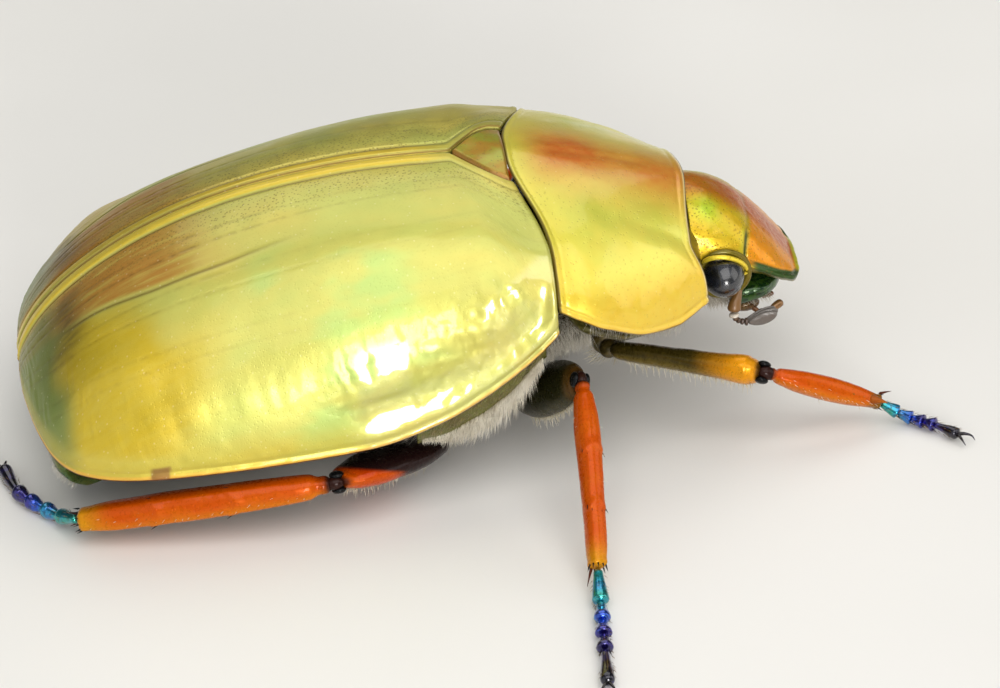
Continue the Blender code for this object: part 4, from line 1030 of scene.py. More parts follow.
def mouthparts():
    piece = Piece("mouth_parts")
    x_axis = np.eye(3)
    # labrum: a plate under the front of the clypeus with a notched edge
    rows, cols = 26, 40
    f = np.linspace(0, 1, rows)[:, None]
    k = np.sin(np.linspace(-1, 1, cols) * math.pi / 2)[None]
    w = 1.12 * rounded(0.5 + f * 0.5, 0.1, 0.25) * (1 - 0.25 * f)
    notch = 0.12 * hill(k / 0.22)
    x = 8.9 + 1.08 * f * (1 - notch * f) + 0 * k
    z = 4.06 - 0.10 * f - 0.10 * (k ** 2) + 0 * f
    top = np.stack([x, w * k, z], -1)
    low = np.stack([x, w * k, z - 0.24 * rounded(0.5 + f * 0.5, 0.1, 0.3)], -1)[:, ::-1]
    points, blocks = tubed(np.concatenate([top, low], 1))
    piece.add(points, blocks, brown=1.0)
    piece.add(*blob((8.35, 0, 3.70), np.eye(3), (0.95, 1.30, 0.52), 30, 40), brown=0.3)
    piece.add(*blob((8.86, 0, 4.02), np.eye(3), (1.02, 1.72, 0.42), 36, 60))
    for side in (-1, 1):
        # mandible: a thick curved lobe
        path = curve([(7.95, side * 1.32, 3.80), (8.55, side * 1.52, 3.88), (9.10, side * 1.40, 3.92), (9.55, side * 1.00, 3.92), (9.80, side * 0.55, 3.90)], 40)
        q = np.linspace(0, 1, 40)
        full = rounded(q, 0.15, 0.12)
        rings, _ = limb(path, (0.36 - 0.14 * q) * full, (0.26 - 0.10 * q) * full, (0, 0, 1), 24, 2.4)
        rings = rings + grid_normals(rings, True) * (0.014 * noise3(rings, 0.3, 81))[..., None]
        piece.add(*tubed(rings))
        # maxilla with its four-jointed palp
        piece.add(*blob((8.55, side * 1.18, 3.28), np.eye(3), (0.52, 0.34, 0.26), 20, 28), brown=0.6)
        stops = [(8.72, side * 1.34, 3.24), (8.98, side * 1.50, 3.08), (9.22, side * 1.52, 3.04), (9.42, side * 1.46, 3.08), (9.86, side * 1.26, 3.22)]
        for n in range(4):
            a, b = np.array(stops[n]), np.array(stops[n + 1])
            q = np.linspace(0, 1, 18)
            path = a + (b - a) * q[:, None] * 1.04
            girth = (0.085, 0.11, 0.10, 0.135)[n]
            rings, _ = limb(path, girth * (0.72 + 0.38 * np.sin(q * math.pi * 0.85)) * rounded(q, 0.12, 0.2), girth * (0.72 + 0.38 * np.sin(q * math.pi * 0.85)) * rounded(q, 0.12, 0.2), (0, 0, 1), 16)
            piece.add(*tubed(rings), brown=0.85, pale=0.15 if n == 3 else 0.0)
        stops = [(9.05, side * 0.48, 3.22), (9.24, side * 0.58, 3.10), (9.40, side * 0.60, 3.08), (9.66, side * 0.52, 3.16)]
        for n in range(3):
            a, b = np.array(stops[n]), np.array(stops[n + 1])
            q = np.linspace(0, 1, 14)
            girth = (0.06, 0.07, 0.085)[n]
            rings, _ = limb(a + (b - a) * q[:, None] * 1.04, girth * rounded(q, 0.15, 0.25), girth * rounded(q, 0.15, 0.25), (0, 0, 1), 14)
            piece.add(*tubed(rings), brown=0.9)
    # labium
    f = np.linspace(0, 1, 26)[:, None]
    k = np.sin(np.linspace(-1, 1, 30) * math.pi / 2)[None]
    w = (0.82 - 0.25 * f) * rounded(f, 0.12, 0.2)
    x = 7.75 + 1.55 * f + 0 * k
    z = 3.06 + 0.16 * k ** 2 + 0.10 * (1 - f) + 0 * k
    low = np.stack([x, w * k, z], -1)
    top = np.stack([x, w * k, z + 0.30 * rounded(f, 0.12, 0.2) + 0 * k], -1)[:, ::-1]
    piece.add(*tubed(np.concatenate([low, top], 1)), brown=0.45)
    piece.done(MOUTH, "mouthparts", "mouthparts")


mouthparts()


def feeler(name, side):
    piece = Piece(name + "_joints")
    # scape: a club-shaped first joint that comes out from under the ledge
    path = curve([(8.28, 2.18, 4.62), (8.14, 2.40, 4.36), (8.02, 2.52, 4.10), (7.97, 2.60, 3.86)], 26)
    q = np.linspace(0, 1, 26)
    full = rounded(q, 0.12, 0.16)
    rings, _ = limb(path, (0.11 + 0.13 * smooth(q * 1.1)) * full, (0.10 + 0.12 * smooth(q * 1.1)) * full, (1, 0, 0), 20)
    piece.add(*tubed(rings), t=0.0)
    stops = curve([(7.97, 2.60, 3.84), (7.99, 2.61, 3.66), (8.08, 2.61, 3.54), (8.20, 2.60, 3.47), (8.34, 2.60, 3.43), (8.46, 2.60, 3.42)], 6)
    sizes = (0.19, 0.115, 0.11, 0.12, 0.15)
    for n in range(5):
        a, b = stops[n], stops[n + 1]
        q = np.linspace(0, 1, 12)
        rings, _ = limb(a + (b - a) * q[:, None], sizes[n] * rounded(q, 0.35, 0.35) * (0.85 + 0.15 * q), sizes[n] * rounded(q, 0.35, 0.35) * (0.85 + 0.15 * q), (0, 1, 0), 18)
        # painted highlight: the first of these joints is coloured pale where a white glint shows
        piece.add(*tubed(rings), t=0.2 + 0.1 * n, pale=0.9 if n == 0 else 0.0)
    # club of three leaves lying together
    for n, (fan, far) in enumerate(((-0.16, 1.10), (0.0, 1.16), (0.16, 1.10))):
        base = np.array([8.40 + 0.03 * n, 2.60 + fan * 0.5, 3.43])
        tip = np.array([8.40 + far * 0.97, 2.52 + fan * 1.15, 3.43 + far * 0.26])
        q = np.linspace(0, 1, 40)
        path = base + (tip - base) * q[:, None] + np.array([0, 0, -0.05]) * np.sin(q * math.pi)[:, None]
        leaf = np.sin(clamp(q * 0.97 + 0.03) * math.pi) ** 0.55 * (0.75 + 0.25 * q)
        rings, _ = limb(path, 0.26 * leaf, 0.072 * rounded(q, 0.10, 0.16), (0, 0, 1), 24)
        rings = rings + grid_normals(rings, True) * (0.006 * noise3(rings, 0.14, 90 + n))[..., None]
        piece.add(*tubed(rings), t=1.0, club=1.0)
    piece.done(FEELER, "feeler", name, mirror=side < 0)


feeler("feeler_right", -1)
feeler("feeler_left", 1)


# ---- trunk ---------------------------------------------------------------------------------
def trunk(x, inset, crown, keel, side_z, power, wall, cols=56):
    """rings at every x: a dome inside the wing cases above, the breast or belly below, as in part.py"""
    x, inset, crown, keel, side_z, power, wall = (np.asarray(a, float)[:, None] for a in (x, inset, crown, keel, side_z, power, wall))
    w = half_width(x) - inset
    top = suture_z(x) - crown
    n = section_power(x)
    k = np.sin(np.linspace(-1, 1, cols) * math.pi / 2)[None]
    upper = np.stack([x + 0 * k, w * k, side_z + (top - side_z) * np.sqrt(clamp(1 - np.abs(k) ** n))], -1)
    k = np.cos(np.linspace(0, 1, 2 * cols)[1:-1] * math.pi)[None]
    lower = np.stack([x + 0 * k, w * k, side_z - 0.12 - (side_z - 0.12 - keel) * clamp(1 - np.abs(k) ** power) ** (1 / wall)], -1)
    return np.concatenate([upper, lower], 1), cols


def abdomen():
    x = np.linspace(-3.62, -15.0, 170)
    keel = BELLY_Z + 0.9 * clamp((-9.5 - x) / 5.5) ** 2 + 0.72 * smooth((x + 6.4) / 2.8)
    rings, cols = trunk(x, x * 0 + 1.0, x * 0 + 1.0, keel, margin_z(x) - 0.05, x * 0 + 1.75, x * 0 + 1.0)
    normal = grid_normals(rings, True)
    middle = rings.mean(1, keepdims=True)
    normal *= np.sign(np.sum(normal * (rings - middle), -1).mean())
    below = np.zeros(rings.shape[:2]); below[:, cols:] = 1
    seam = np.zeros(rings.shape[:2])
    for at in (-5.3, -7.1, -8.9, -10.7, -12.5, -14.0):
        seam = np.maximum(seam, hill((rings[..., 0] - at) / 0.07))
        pit = hill(np.sqrt(((rings[..., 0] - at + 0.9) / 0.16) ** 2 + ((np.abs(rings[..., 1]) - (half_width(rings[..., 0]) - 1.15)) / 0.14) ** 2))
        seam = np.maximum(seam, pit * below)
    d = -0.06 * seam * below + 0.02 * noise3(rings, 0.9, 101) + 0.008 * noise3(rings, 0.3, 102)
    rings = rings + normal * d[..., None] * smooth((rings[..., :1] + 15.0) / 0.3)
    points, blocks = tubed(rings)
    Piece("abdomen_plates").add(points, blocks, seam=np.concatenate([(seam * below).ravel(), [0, 0]])).done(BELLY, "belly", "abdomen")


abdomen()

BREAST_RINGS = ((1.30, 2.30, 4.10, 3.70, 1.6, 1.0), (0.62, 1.35, 3.55, 2.95, 1.9, 1.1), (0.15, 1.05, 1.20, 2.50, 2.4, 1.3),
                (-0.35, 0.90, 1.05, 2.05, 2.8, 1.8), (-0.85, 0.80, 1.05, 1.15, 3.0, 2.5), (-1.40, 0.80, 1.05, 1.02, 3.0, 2.5),
                (-1.72, 0.84, 1.05, 1.50, 3.0, 2.2), (-2.70, 0.92, 1.05, 1.56, 2.8, 1.6), (-3.62 + GAP, 1.00, 1.05, 1.56, 2.6, 1.2))


def breast_values(x):
    order = sorted(BREAST_RINGS)
    return [along(x, [(row[0], row[k]) for row in order]) for k in range(1, 6)]


def breast():
    x = np.linspace(1.30, -3.62 + GAP, 110)
    inset, crown, keel, power, wall = breast_values(x)
    rings, cols = trunk(x, inset, crown, keel, margin_z(x) - 0.15, power, wall, 64)
    normal = grid_normals(rings, True)
    middle = rings.mean(1, keepdims=True)
    normal *= np.sign(np.sum(normal * (rings - middle), -1).mean())
    below = np.zeros(rings.shape[:2]); below[:, cols:] = 1
    xs, ys = rings[..., 0], rings[..., 1]
    # the seams of the breast plate, the side plate and the middle line
    seam = hill((np.abs(ys) - (4.9 + 0.16 * xs)) / 0.07) * smooth((0.4 - xs) / 0.6) + hill(ys / 0.07) * 0.8
    seam = clamp(seam) * below
    d = -0.05 * seam + 0.02 * noise3(rings, 0.8, 111) + 0.010 * noise3(rings, 0.25, 112)
    rings = rings + normal * d[..., None]
    glint = below * hill((np.abs(ys) - 5.55) / 0.35) * (noise3(rings, 0.6, 113) > 0.25) * 0.6
    points, blocks = tubed(rings)
    Piece("breast_plates").add(points, blocks, seam=np.concatenate([seam.ravel(), [0, 0]]),
                               glint=np.concatenate([glint.ravel(), [0, 0]])).done(BREAST, "breast", "breast")


breast()


def side_plate_point(x, k, inward=0.0):
    """the long plate below each wing case's edge; k runs down it from 0 to 1"""
    low = 0.78 + 0.42 * smooth((1.0 - x) / 1.5) - 0.35 * smooth((-2.3 - x) / 1.2)
    y = half_width(x) - (0.36 + 0.34 * k ** 1.6 - 0.07 * np.sin(k * math.pi)) - inward
    return np.stack([x + 0 * k, y, margin_z(x) - 0.12 - (low - 0.12) * k], -1)


def side_plates():
    piece = Piece("breast_side_plates")
    x = np.linspace(1.12, -3.50, 120)[:, None]
    k = np.linspace(0, 1, 30)[None]
    outer, inner = side_plate_point(x + 0 * k, k + 0 * x), side_plate_point(x + 0 * k, k + 0 * x, 0.42)[:, ::-1]
    rings = np.concatenate([outer, inner], 1)
    normal = grid_normals(rings, True)
    normal *= np.sign(np.sum(normal * (rings - rings.mean(1, keepdims=True)), -1).mean())
    mask = np.concatenate([np.ones((120, 30)), np.zeros((120, 30))], 1)
    xs = rings[..., 0]
    kk = np.concatenate([k + 0 * x, (k + 0 * x)[:, ::-1]], 1)
    seam = hill((xs - 0.42 + 0.5 * (kk - 0.5)) / 0.06) * mask
    d = -0.05 * seam + 0.035 * hill((kk - 0.93) / 0.05) * mask + 0.018 * noise3(rings, 0.6, 141) + 0.010 * (1 - 2 * np.abs(noise3(rings, (0.3, 0.3, 0.2), 142)))
    rings = rings + normal * d[..., None]
    glint = 0.7 * hill((xs + 3.1) / 0.35) * smooth((0.35 - kk) / 0.3) * mask
    for side in (-1, 1):
        points, blocks = tubed(rings * (1, side, 1))
        piece.add(points, blocks, seam=np.concatenate([seam.ravel(), [0, 0]]), glint=np.concatenate([glint.ravel(), [0, 0]]))
    piece.done(BREAST_SIDE, "breast")


side_plates()


def collar_point(a, b):
    """the neck between the breast and the ring of the front legs; b is the angle round it"""
    x = 1.00 + 1.95 * a
    c, h = np.cos(b), np.sin(b)
    c, h = np.sign(c) * np.abs(c) ** 0.8, np.sign(h) * np.abs(h) ** 0.8
    w = 4.85 - 0.75 * a - 0.10 * np.sin(a * math.pi)
    return np.stack([x, w * c, 5.05 + np.where(h > 0, 1.15 - 0.2 * a, 1.42 - 0.45 * a) * h], -1)


def collar():
    a, b = np.meshgrid(np.linspace(0, 1, 60), 2 * math.pi * np.arange(160) / 160, indexing="ij")
    rings = collar_point(a, b)
    normal = grid_normals(rings, True)
    normal *= np.sign(np.sum(normal * (rings - rings.mean(1, keepdims=True)), -1).mean())
    fold = hill((a - 0.45 - 0.03 * noise3(rings, 0.8, 151)) / 0.05)
    rings = rings + normal * (0.03 * noise3(rings, 0.5, 152) - 0.07 * fold + 0.012 * (1 - 2 * np.abs(noise3(rings, 0.22, 153))))[..., None]
    points, blocks = tubed(rings)
    Piece("breast_collar").add(points, blocks, seam=np.concatenate([fold.ravel() * 0.8, [0, 0]])).done(COXA, "breast")


collar()


def prosternum():
    stops = ((0.18, 0.62, 4.0), (0.26, 0.78, 3.65), (0.45, 0.84, 3.60), (0.68, 0.80, 3.62), (0.88, 0.66, 3.85), (0.98, 0.50, 4.2))
    t = np.linspace(0.18, 0.98, 70)[:, None]
    share = eased(t, [(a, b) for a, b, _ in stops])
    deep = eased(t, [(a, c) for a, _, c in stops])
    w = pro_half_width(t) * share
    top = pro_margin_z(t) - 0.50 - GAP
    x = pro_x(t, 0.0) + 0.10
    k = np.linspace(-1, 1, 24)[None]
    upper = np.stack([x + 0 * k, w * k, top + 0 * k], -1)
    k = np.sin(np.linspace(1, -1, 74)[1:-1] * math.pi / 2)[None]
    lower = np.stack([x + 0 * k, w * k * 0.985, deep + (top - 0.25 - deep) * np.abs(k) ** 1.9], -1)
    rings = np.concatenate([upper, lower], 1)
    normal = grid_normals(rings, True)
    normal *= np.sign(np.sum(normal * (rings - rings.mean(1, keepdims=True)), -1).mean())
    rings = rings + normal * (0.03 * noise3(rings, 0.7, 121) + 0.012 * noise3(rings, 0.25, 122))[..., None]
    points, blocks = tubed(rings)
    piece = Piece("prosternum_plates").add(points, blocks)
    # the peg between the front hips
    q = np.linspace(0, 1, 24)
    path = curve([(3.0, 0, 3.9), (2.75, 0, 3.45), (2.60, 0, 3.05), (2.75, 0, 2.80)], 24)
    rings, _ = limb(path, 0.34 * rounded(q, 0.1, 0.2) * (1 - 0.4 * q), 0.24 * rounded(q, 0.1, 0.2) * (1 - 0.4 * q), (0, 1, 0), 20)
    piece.add(*tubed(rings))
    piece.done(BREAST, "breast", "prosternum")


prosternum()


def pygidium():
    a = math.pi * (0.04 + 0.92 * np.linspace(0, 1, 120))
    y = -5.15 * np.cos(a)
    high = 2.52 + 0.48 * np.sin(a)
    low = 1.80 - 0.90 * np.sin(a) ** 0.8
    back = -15.30 - 0.72 * np.sin(a) ** 0.6
    mid = (high + low) / 2
    inner = np.minimum(back + 0.55, -15.0 - GAP)
    stops = [(back + 0.0, high), (back - 0.10, mid + 0.25), (back + 0.22, mid - 0.25), (back + 0.72, low), (back + 1.22, low + 0.12),
             (np.minimum(back + 0.85, -15.0 - GAP - 0.02), mid - 0.2), (inner, mid + 0.25), (inner, high)]
    count = len(stops)
    ring = []
    for k in range(48):
        f = k / 48 * count
        i, f = int(f), f - int(f)
        pts = [np.stack(stops[(i + n - 1) % count]) for n in range(4)]
        ring.append(0.5 * ((2 * pts[1]) + (-pts[0] + pts[2]) * f + (2 * pts[0] - 5 * pts[1] + 4 * pts[2] - pts[3]) * f ** 2
                           + (-pts[0] + 3 * pts[1] - 3 * pts[2] + pts[3]) * f ** 3))
    ring = np.stack(ring)                                     # 48, 2, 120
    rings = np.stack([ring[:, 0].T, np.broadcast_to(y[:, None], (120, 48)), ring[:, 1].T], -1)
    normal = grid_normals(rings, True)
    normal *= np.sign(np.sum(normal * (rings - rings.mean(1, keepdims=True)), -1).mean())
    wrinkle = 1 - 2 * np.abs(noise3(rings, (0.5, 0.45, 0.20), 131))
    rings = rings + normal * (0.018 * wrinkle + 0.02 * noise3(rings, 0.9, 132))[..., None]
    Piece("pygidium_plate").add(*tubed(rings)).done(PYGIDIUM, "pygidium", "pygidium")


pygidium()


# ---- legs ----------------------------------------------------------------------------------
FEMUR_STOPS = (0.0, 0.10, 0.28, 0.52, 0.76, 0.92, 1.0)
TIBIA_STOPS = (0.0, 0.07, 0.26, 0.50, 0.74, 0.92, 1.0)
LEG_SIZES = dict(
    fore=dict(femur=(0.38, 0.46, 0.50, 0.55, 0.63, 0.66, 0.46), flat=0.72, tibia=(0.27, 0.32, 0.46, 0.52, 0.46, 0.34, 0.27), tarsus=0.27, hip=(1.75, 0.62, 0.50), play=0.20),
    mid=dict(femur=(0.48, 0.66, 0.86, 0.92, 0.80, 0.58, 0.36), flat=0.66, tibia=(0.27, 0.36, 0.47, 0.45, 0.41, 0.38, 0.31), tarsus=0.30, hip=(2.10, 0.62, 0.44), play=0.20),
    hind=dict(femur=(0.60, 0.86, 1.14, 1.22, 1.06, 0.74, 0.44), flat=0.44, tibia=(0.33, 0.48, 0.60, 0.65, 0.64, 0.56, 0.42), tarsus=0.31, hip=(3.30, 0.82, 0.33), play=0.40),
)


def spine(piece, root, way, length, thick, **marks):
    q = np.linspace(0, 1, 12)
    path = np.asarray(root, float) + unit(way) * (length * q)[:, None] + np.array([0, 0, -0.10 * length]) * (q ** 2)[:, None]
    r = thick * (1 - q * 0.93) * np.sqrt(clamp(q / 0.06 + 0.3))
    side = np.cross(unit(way), (0.3, 0.5, 0.8))
    rings, _ = limb(path, r, r, side, 10)
    piece.add(*tubed(rings), **marks)


def leg(kind, side_name, joints, seed):
    size = LEG_SIZES[kind]
    hip, knee, ankle = (np.asarray(joints[k], float) for k in ("hip", "knee", "ankle"))
    side = np.sign(hip[1])
    name = f"{kind}_%s_{side_name}"
    thigh, shin = unit(knee - hip), unit(ankle - knee)
    bend = unit(np.cross(thigh, shin))
    reach, wide, thick = size["hip"]
    way = unit((0.0, side, 0.0)) if kind == "hind" else unit((-0.10, side, 0.06))
    inside = hip - way * reach
    far = hip - way * (size["play"] + GAP) * 0.8

    # coxa, with the small trochanter at its outer end
    q = np.linspace(0, 1, 48)
    shape = eased(q, ((0, 0.82), (0.35, 1.0), (0.75, 0.95), (1, 0.74)))
    full = rounded(q, 0.10, 0.10)
    rings, f = limb(inside + (far - inside) * q[:, None], wide * shape * full, thick * shape * full, (1, 0, 0), 36, 2.3)
    normal = grid_normals(rings, True)
    normal *= np.sign(np.sum(normal * (rings - rings.mean(1, keepdims=True)), -1).mean())
    rings = rings + normal * (0.02 * noise3(rings, 0.6, seed) + 0.010 * (1 - 2 * np.abs(noise3(rings, (0.22, 0.6, 0.3), seed + 1))))[..., None]
    piece = Piece(name % "coxa" + "_plate")
    piece.add(*tubed(rings))
    first = hip + thigh * 0.25
    other = unit(np.cross(thigh, bend))
    piece.add(*blob(hip + thigh * 0.02, np.stack([thigh, bend, other]), (0.34, size["femur"][0] * 0.86, size["femur"][0] * 0.86 * max(size["flat"], 0.55)), 20, 28), seam=0.25)
    piece.done(COXA, "coxa", name % "coxa")

    # femur
    rows, sides = 90, 56
    q = np.linspace(0, 1, rows)
    wide = eased(q, list(zip(FEMUR_STOPS, size["femur"])))
    full = rounded(q, 0.07, 0.05)
    broad = np.cross(thigh, (0, 0, 1)) if kind == "hind" else np.cross(bend, thigh)
    if kind == "hind":
        broad = unit(broad) * -side + np.array((0.0, 0.0, -0.30))
    a, b = hip + thigh * 0.06, knee - thigh * 0.10
    path = a + (b - a) * q[:, None]
    rings, f = limb(path, wide * full, np.maximum(wide * size["flat"], 0.24) * full, broad, sides, 2.2)
    normal = grid_normals(rings, True)
    normal *= np.sign(np.sum(normal * (rings - path[:, None]), -1).mean())
    d = 0.018 * noise3(rings, 0.7, seed + 2) + 0.006 * noise3(rings, 0.22, seed + 3)
    tq = np.broadcast_to(q[:, None], f.shape)
    # a faint keel along the edges, and a furrow behind the knee where the shin folds in
    d = d + 0.025 * hill(np.sin(f) / 0.16) * smooth((tq - 0.1) / 0.2)
    d = d - 0.06 * hill((tq - 0.985) / 0.05) - 0.03 * hill((tq - 0.92) / 0.012)
    rings = rings + normal * d[..., None]
    downward = smooth((-normal[..., 2] + 0.25) / 0.9)
    outward = smooth((normal[..., 1] * side * 0.7 - normal[..., 2] * 0.5 + 0.3) / 0.9)
    low = outward if kind == "hind" else downward
    piece = Piece(name % "femur" + "_shell")
    points, blocks = tubed(rings)
    dark = clamp(smooth((tq - 0.955) / 0.03) * 0.9)
    if kind == "hind":
        # painted shade: the upper face and the end towards the hip are darkened as if in the body's shadow; only the
        # lower face next to the knee stays orange
        level = 0.5433 * (np.abs(knee[1]) - np.abs(rings[..., 1])) + 0.8387 * (rings[..., 2] - knee[2])
        shade_line = level - 0.56 + 0.20 * (rings[..., 0] - knee[0])
        dark = np.maximum(dark, 0.975 * np.maximum(smooth(shade_line / 0.16 + 0.5), smooth((rings[..., 0] - knee[0] - 2.0) / 0.6)))
    piece.add(points, blocks, t=np.concatenate([tq.ravel(), [0, 1]]), low=np.concatenate([low.ravel(), [0.5, 0.5]]),
              dark=np.concatenate([dark.ravel(), [0, 1]]))
    # the two lobes of the knee
    for k in (-1, 1):
        place = knee - thigh * 0.14 + bend * k * size["femur"][-1] * 0.60
        piece.add(*blob(place, np.stack([thigh, bend, other]), (0.24, 0.13, 0.27), 16, 22), dark=1.0, t=0.5)
    piece.done(dict(fore=FEMUR, mid=FEMUR_MID_SHADE, hind=FEMUR_HIND)[kind], "femur_hind" if kind == "hind" else "femur", name % "femur")

    # tibia: keeled, with two slanting carinae set with short spines, a crown of spines and two spurs at its end
    rows, sides = 120, 56
    q = np.linspace(0, 1, rows)
    wide = eased(q, list(zip(TIBIA_STOPS, size["tibia"])))
    a, b = knee + shin * 0.06, ankle - shin * 0.02
    along_shin = np.linalg.norm(b - a)
    bow = unit(np.cross(shin, bend)) * 0.10 * (0 if kind == "fore" else 1)
    path = a + (b - a) * q[:, None] + bow * np.sin(q * math.pi)[:, None]
    broad = np.cross(shin, bend)
    full = rounded(q, 0.035, 0.02)
    rings, f = limb(path, wide * full, np.maximum(wide * 0.80, 0.24) * full, broad, sides, 2.5)
    normal = grid_normals(rings, True)
    normal *= np.sign(np.sum(normal * (rings - path[:, None]), -1).mean())
    tq = np.broadcast_to(q[:, None], f.shape)
    d = 0.014 * noise3(rings, 0.8, seed + 5) + 0.005 * noise3(rings, 0.2, seed + 6)
    d = d - 0.07 * hill((tq - 0.055) / 0.020)                  # neck next to the knee
    d = d + 0.035 * smooth((tq - 0.955) / 0.03)                # flared end
    outer = np.cos(f + (0 if kind != "fore" else math.pi))     # 1 on the outer edge
    keels = ((0.40, 0.11), (0.70, 0.12)) if kind != "fore" else ()
    for at, slant in keels:
        line = tq - at - slant * 0.35 * np.abs(np.sin(f)) + 0.02
        edge = smooth((-line) / 0.004 + 0.5) * smooth((line + 0.055) / 0.05)
        d = d + 0.030 * edge * smooth((outer + 0.15) / 0.5)
    for corner in (0.8, math.pi - 0.8, -0.8, math.pi + 0.8):
        d = d + 0.014 * hill(np.sin((f - corner) / 2) / 0.07) * smooth((tq - 0.12) / 0.1)
    rings = rings + normal * d[..., None]
    piece = Piece(name % "tibia" + "_shell")
    points, blocks = tubed(rings, (0.0, -0.06))
    lowside = smooth((-normal[..., 2] * 0.8 + 0.45) / 0.9)
    dark = clamp(0.92 * smooth((0.030 - tq) / 0.02))
    if kind == "fore":
        dark = np.maximum(dark, 0.62 * smooth((tq - 0.84) / 0.12))
    piece.add(points, blocks, t=np.concatenate([tq.ravel(), [0, 1]]), low=np.concatenate([lowside.ravel(), [0.5, 0.5]]),
              dark=np.concatenate([dark.ravel(), [1, 0.8]]))
    # the ball that turns in the knee
    lump = size["femur"][-1] * 0.52
    piece.add(*blob(knee + shin * 0.02, np.stack([shin, bend, np.cross(shin, bend)]), (0.34, lump, lump), 20, 26), dark=0.96, t=0.3)
    outward = unit(np.cross(shin, bend))
    if kind == "fore":
        outward = outward if outward @ np.array([1.0, side * 0.4, 0.2]) > 0 else -outward
    for at, _ in keels:
        for k in range(6):
            turn = (k - 2.5) * 0.34
            root_way = broad / np.linalg.norm(broad) * math.cos(turn) + bend * math.sin(turn)
            w = float(eased(at, list(zip(TIBIA_STOPS, size["tibia"]))))
            root = a + (b - a) * (at - 0.012 * abs(turn)) + root_way * w * 0.94
            spine(piece, root, root_way * 0.55 + shin, 0.24 + 0.04 * (k % 2), 0.036, dark=1.0, t=0.5)
    count = 11 if kind != "fore" else 5
    for k in range(count):
        turn = 2 * math.pi * k / count + 0.2
        way = broad / np.linalg.norm(broad) * math.cos(turn) + bend * math.sin(turn)
        w = size["tibia"][-1]
        spine(piece, b + way * w * 0.92 - shin * 0.06, shin + way * 0.30, 0.20, 0.034, dark=1.0, t=0.5)
    inner = -unit(np.cross(shin, bend)) if kind != "fore" else bend
    for k, reach in ((-1, 0.62), (1, 0.50)) if kind != "fore" else ((1, 0.5),):
        root = b + inner * size["tibia"][-1] * 0.55 + bend * k * 0.14 - shin * 0.04
        way = shin + inner * 0.35 + bend * k * 0.20
        if (root + unit(way) * reach)[2] < 0.12:
            way = way + np.array([0, 0, 0.5])
        spine(piece, root, way, reach, 0.062, dark=0.85, t=0.5)
    if kind == "fore":
        for at, reach in ((0.90, 0.62), (0.66, 0.40)):
            root = a + (b - a) * at + outward * size["tibia"][3] * 0.42
            spine(piece, root, outward * 0.8 + shin * 0.75, reach, 0.20, dark=0.45, t=0.9, low=0.2)
    piece.done(TIBIA, "tibia", name % "tibia")

    # tarsus: five joints and two hooked claws
    foot = [np.asarray(p, float) for p in joints["foot"]]
    start = ankle + unit(foot[0] - ankle) * 0.08
    bone = curve([start] + foot, 200)
    reach = np.concatenate([[0], np.cumsum(np.linalg.norm(np.diff(bone, axis=0), axis=1))])
    total = reach[-1]
    shares = (0.22, 0.17, 0.15, 0.14, 0.32)
    r = size["tarsus"]
    across = unit(np.cross(foot[-1] - foot[-2], (0, 0, 1)))
    piece = Piece(name % "tarsus" + "_joints")
    begin = 0.0
    for n, share in enumerate(shares):
        end = begin + share * total
        q = np.linspace(0, 1, 26)
        at = begin + (end - begin) * (q * 1.03 - 0.015)
        path = np.stack([np.interp(at, reach, bone[:, k]) for k in range(3)], -1)
        flare = (0.52 + 0.46 * smooth(q * 1.05)) if n < 4 else (0.46 + 0.44 * smooth(q * 1.1))
        girth = r * flare * rounded(q, 0.10, 0.13) * (1.0 if n < 4 else 0.92)
        path[:, 2] = np.maximum(path[:, 2] , girth * 0.98 + 0.004)
        local = unit(np.cross(unit(path[-1] - path[0]), (0, 0, 1)))
        rings, f = limb(path, girth, girth * 0.94, local, 28)
        rings = rings + grid_normals(rings, True) * (0.006 * noise3(rings, 0.2, seed + 20 + n))[..., None]
        rings[..., 2] = np.maximum(rings[..., 2], 0.004)
        points, blocks = tubed(rings)
        piece.add(points, blocks, t=n / 5 + 0.2 * np.concatenate([np.broadcast_to(q[:, None], f.shape).ravel(), [0, 1]]))
        tip, back = path[-1], path[-5]
        forward = unit(tip - back)
        for k in (-1, 1):
            if n < 4:
                root = tip + local * k * r * 0.45 + np.array([0, 0, -r * 0.35]) - forward * 0.06
                root[2] = max(root[2], 0.07)
                spine(piece, root, forward + local * k * 0.35 + np.array([0, 0, 0.05]), 0.24, 0.030, claw=1.0, t=0.9)
        begin = end
    end = bone[-1]
    forward = unit(bone[-1] - bone[-12])
    for k, long in ((-1, 1.0), (1, 0.86)):
        path = curve([end + np.array([0, 0, -0.02]) - forward * 0.06, end + forward * 0.22 * long + across * k * 0.14 + np.array([0, 0, 0.03]),
                      end + forward * 0.42 * long + across * k * 0.22 + np.array([0, 0, -0.02]),
                      end + forward * 0.56 * long + across * k * 0.22 + np.array([0, 0, -0.16])], 30)
        q = np.linspace(0, 1, 30)
        rad = 0.085 * (1 - 0.86 * q) * rounded(q, 0.08, 0.03)
        path[:, 2] = np.maximum(path[:, 2], rad + 0.006)
        rings, _ = limb(path, rad, rad, (0, 0, 1), 14)
        piece.add(*tubed(rings), claw=0.7, t=1.0)
    piece.done(TARSUS, "tarsus", name % "tarsus")
    return dict(hip=hip, knee=knee, ankle=ankle, thigh=thigh, shin=shin, bend=bend, size=size, side=side, bone=bone)


LEGS = {}
for number, (kind, side_name, joints) in enumerate((
        ("fore", "right", RIGHT_FORE), ("mid", "right", RIGHT_MID), ("hind", "right", RIGHT_HIND),
        ("fore", "left", LEFT_FORE), ("mid", "left", LEFT_MID), ("hind", "left", LEFT_HIND))):
    LEGS[kind, side_name] = leg(kind, side_name, joints, 200 + 40 * number)


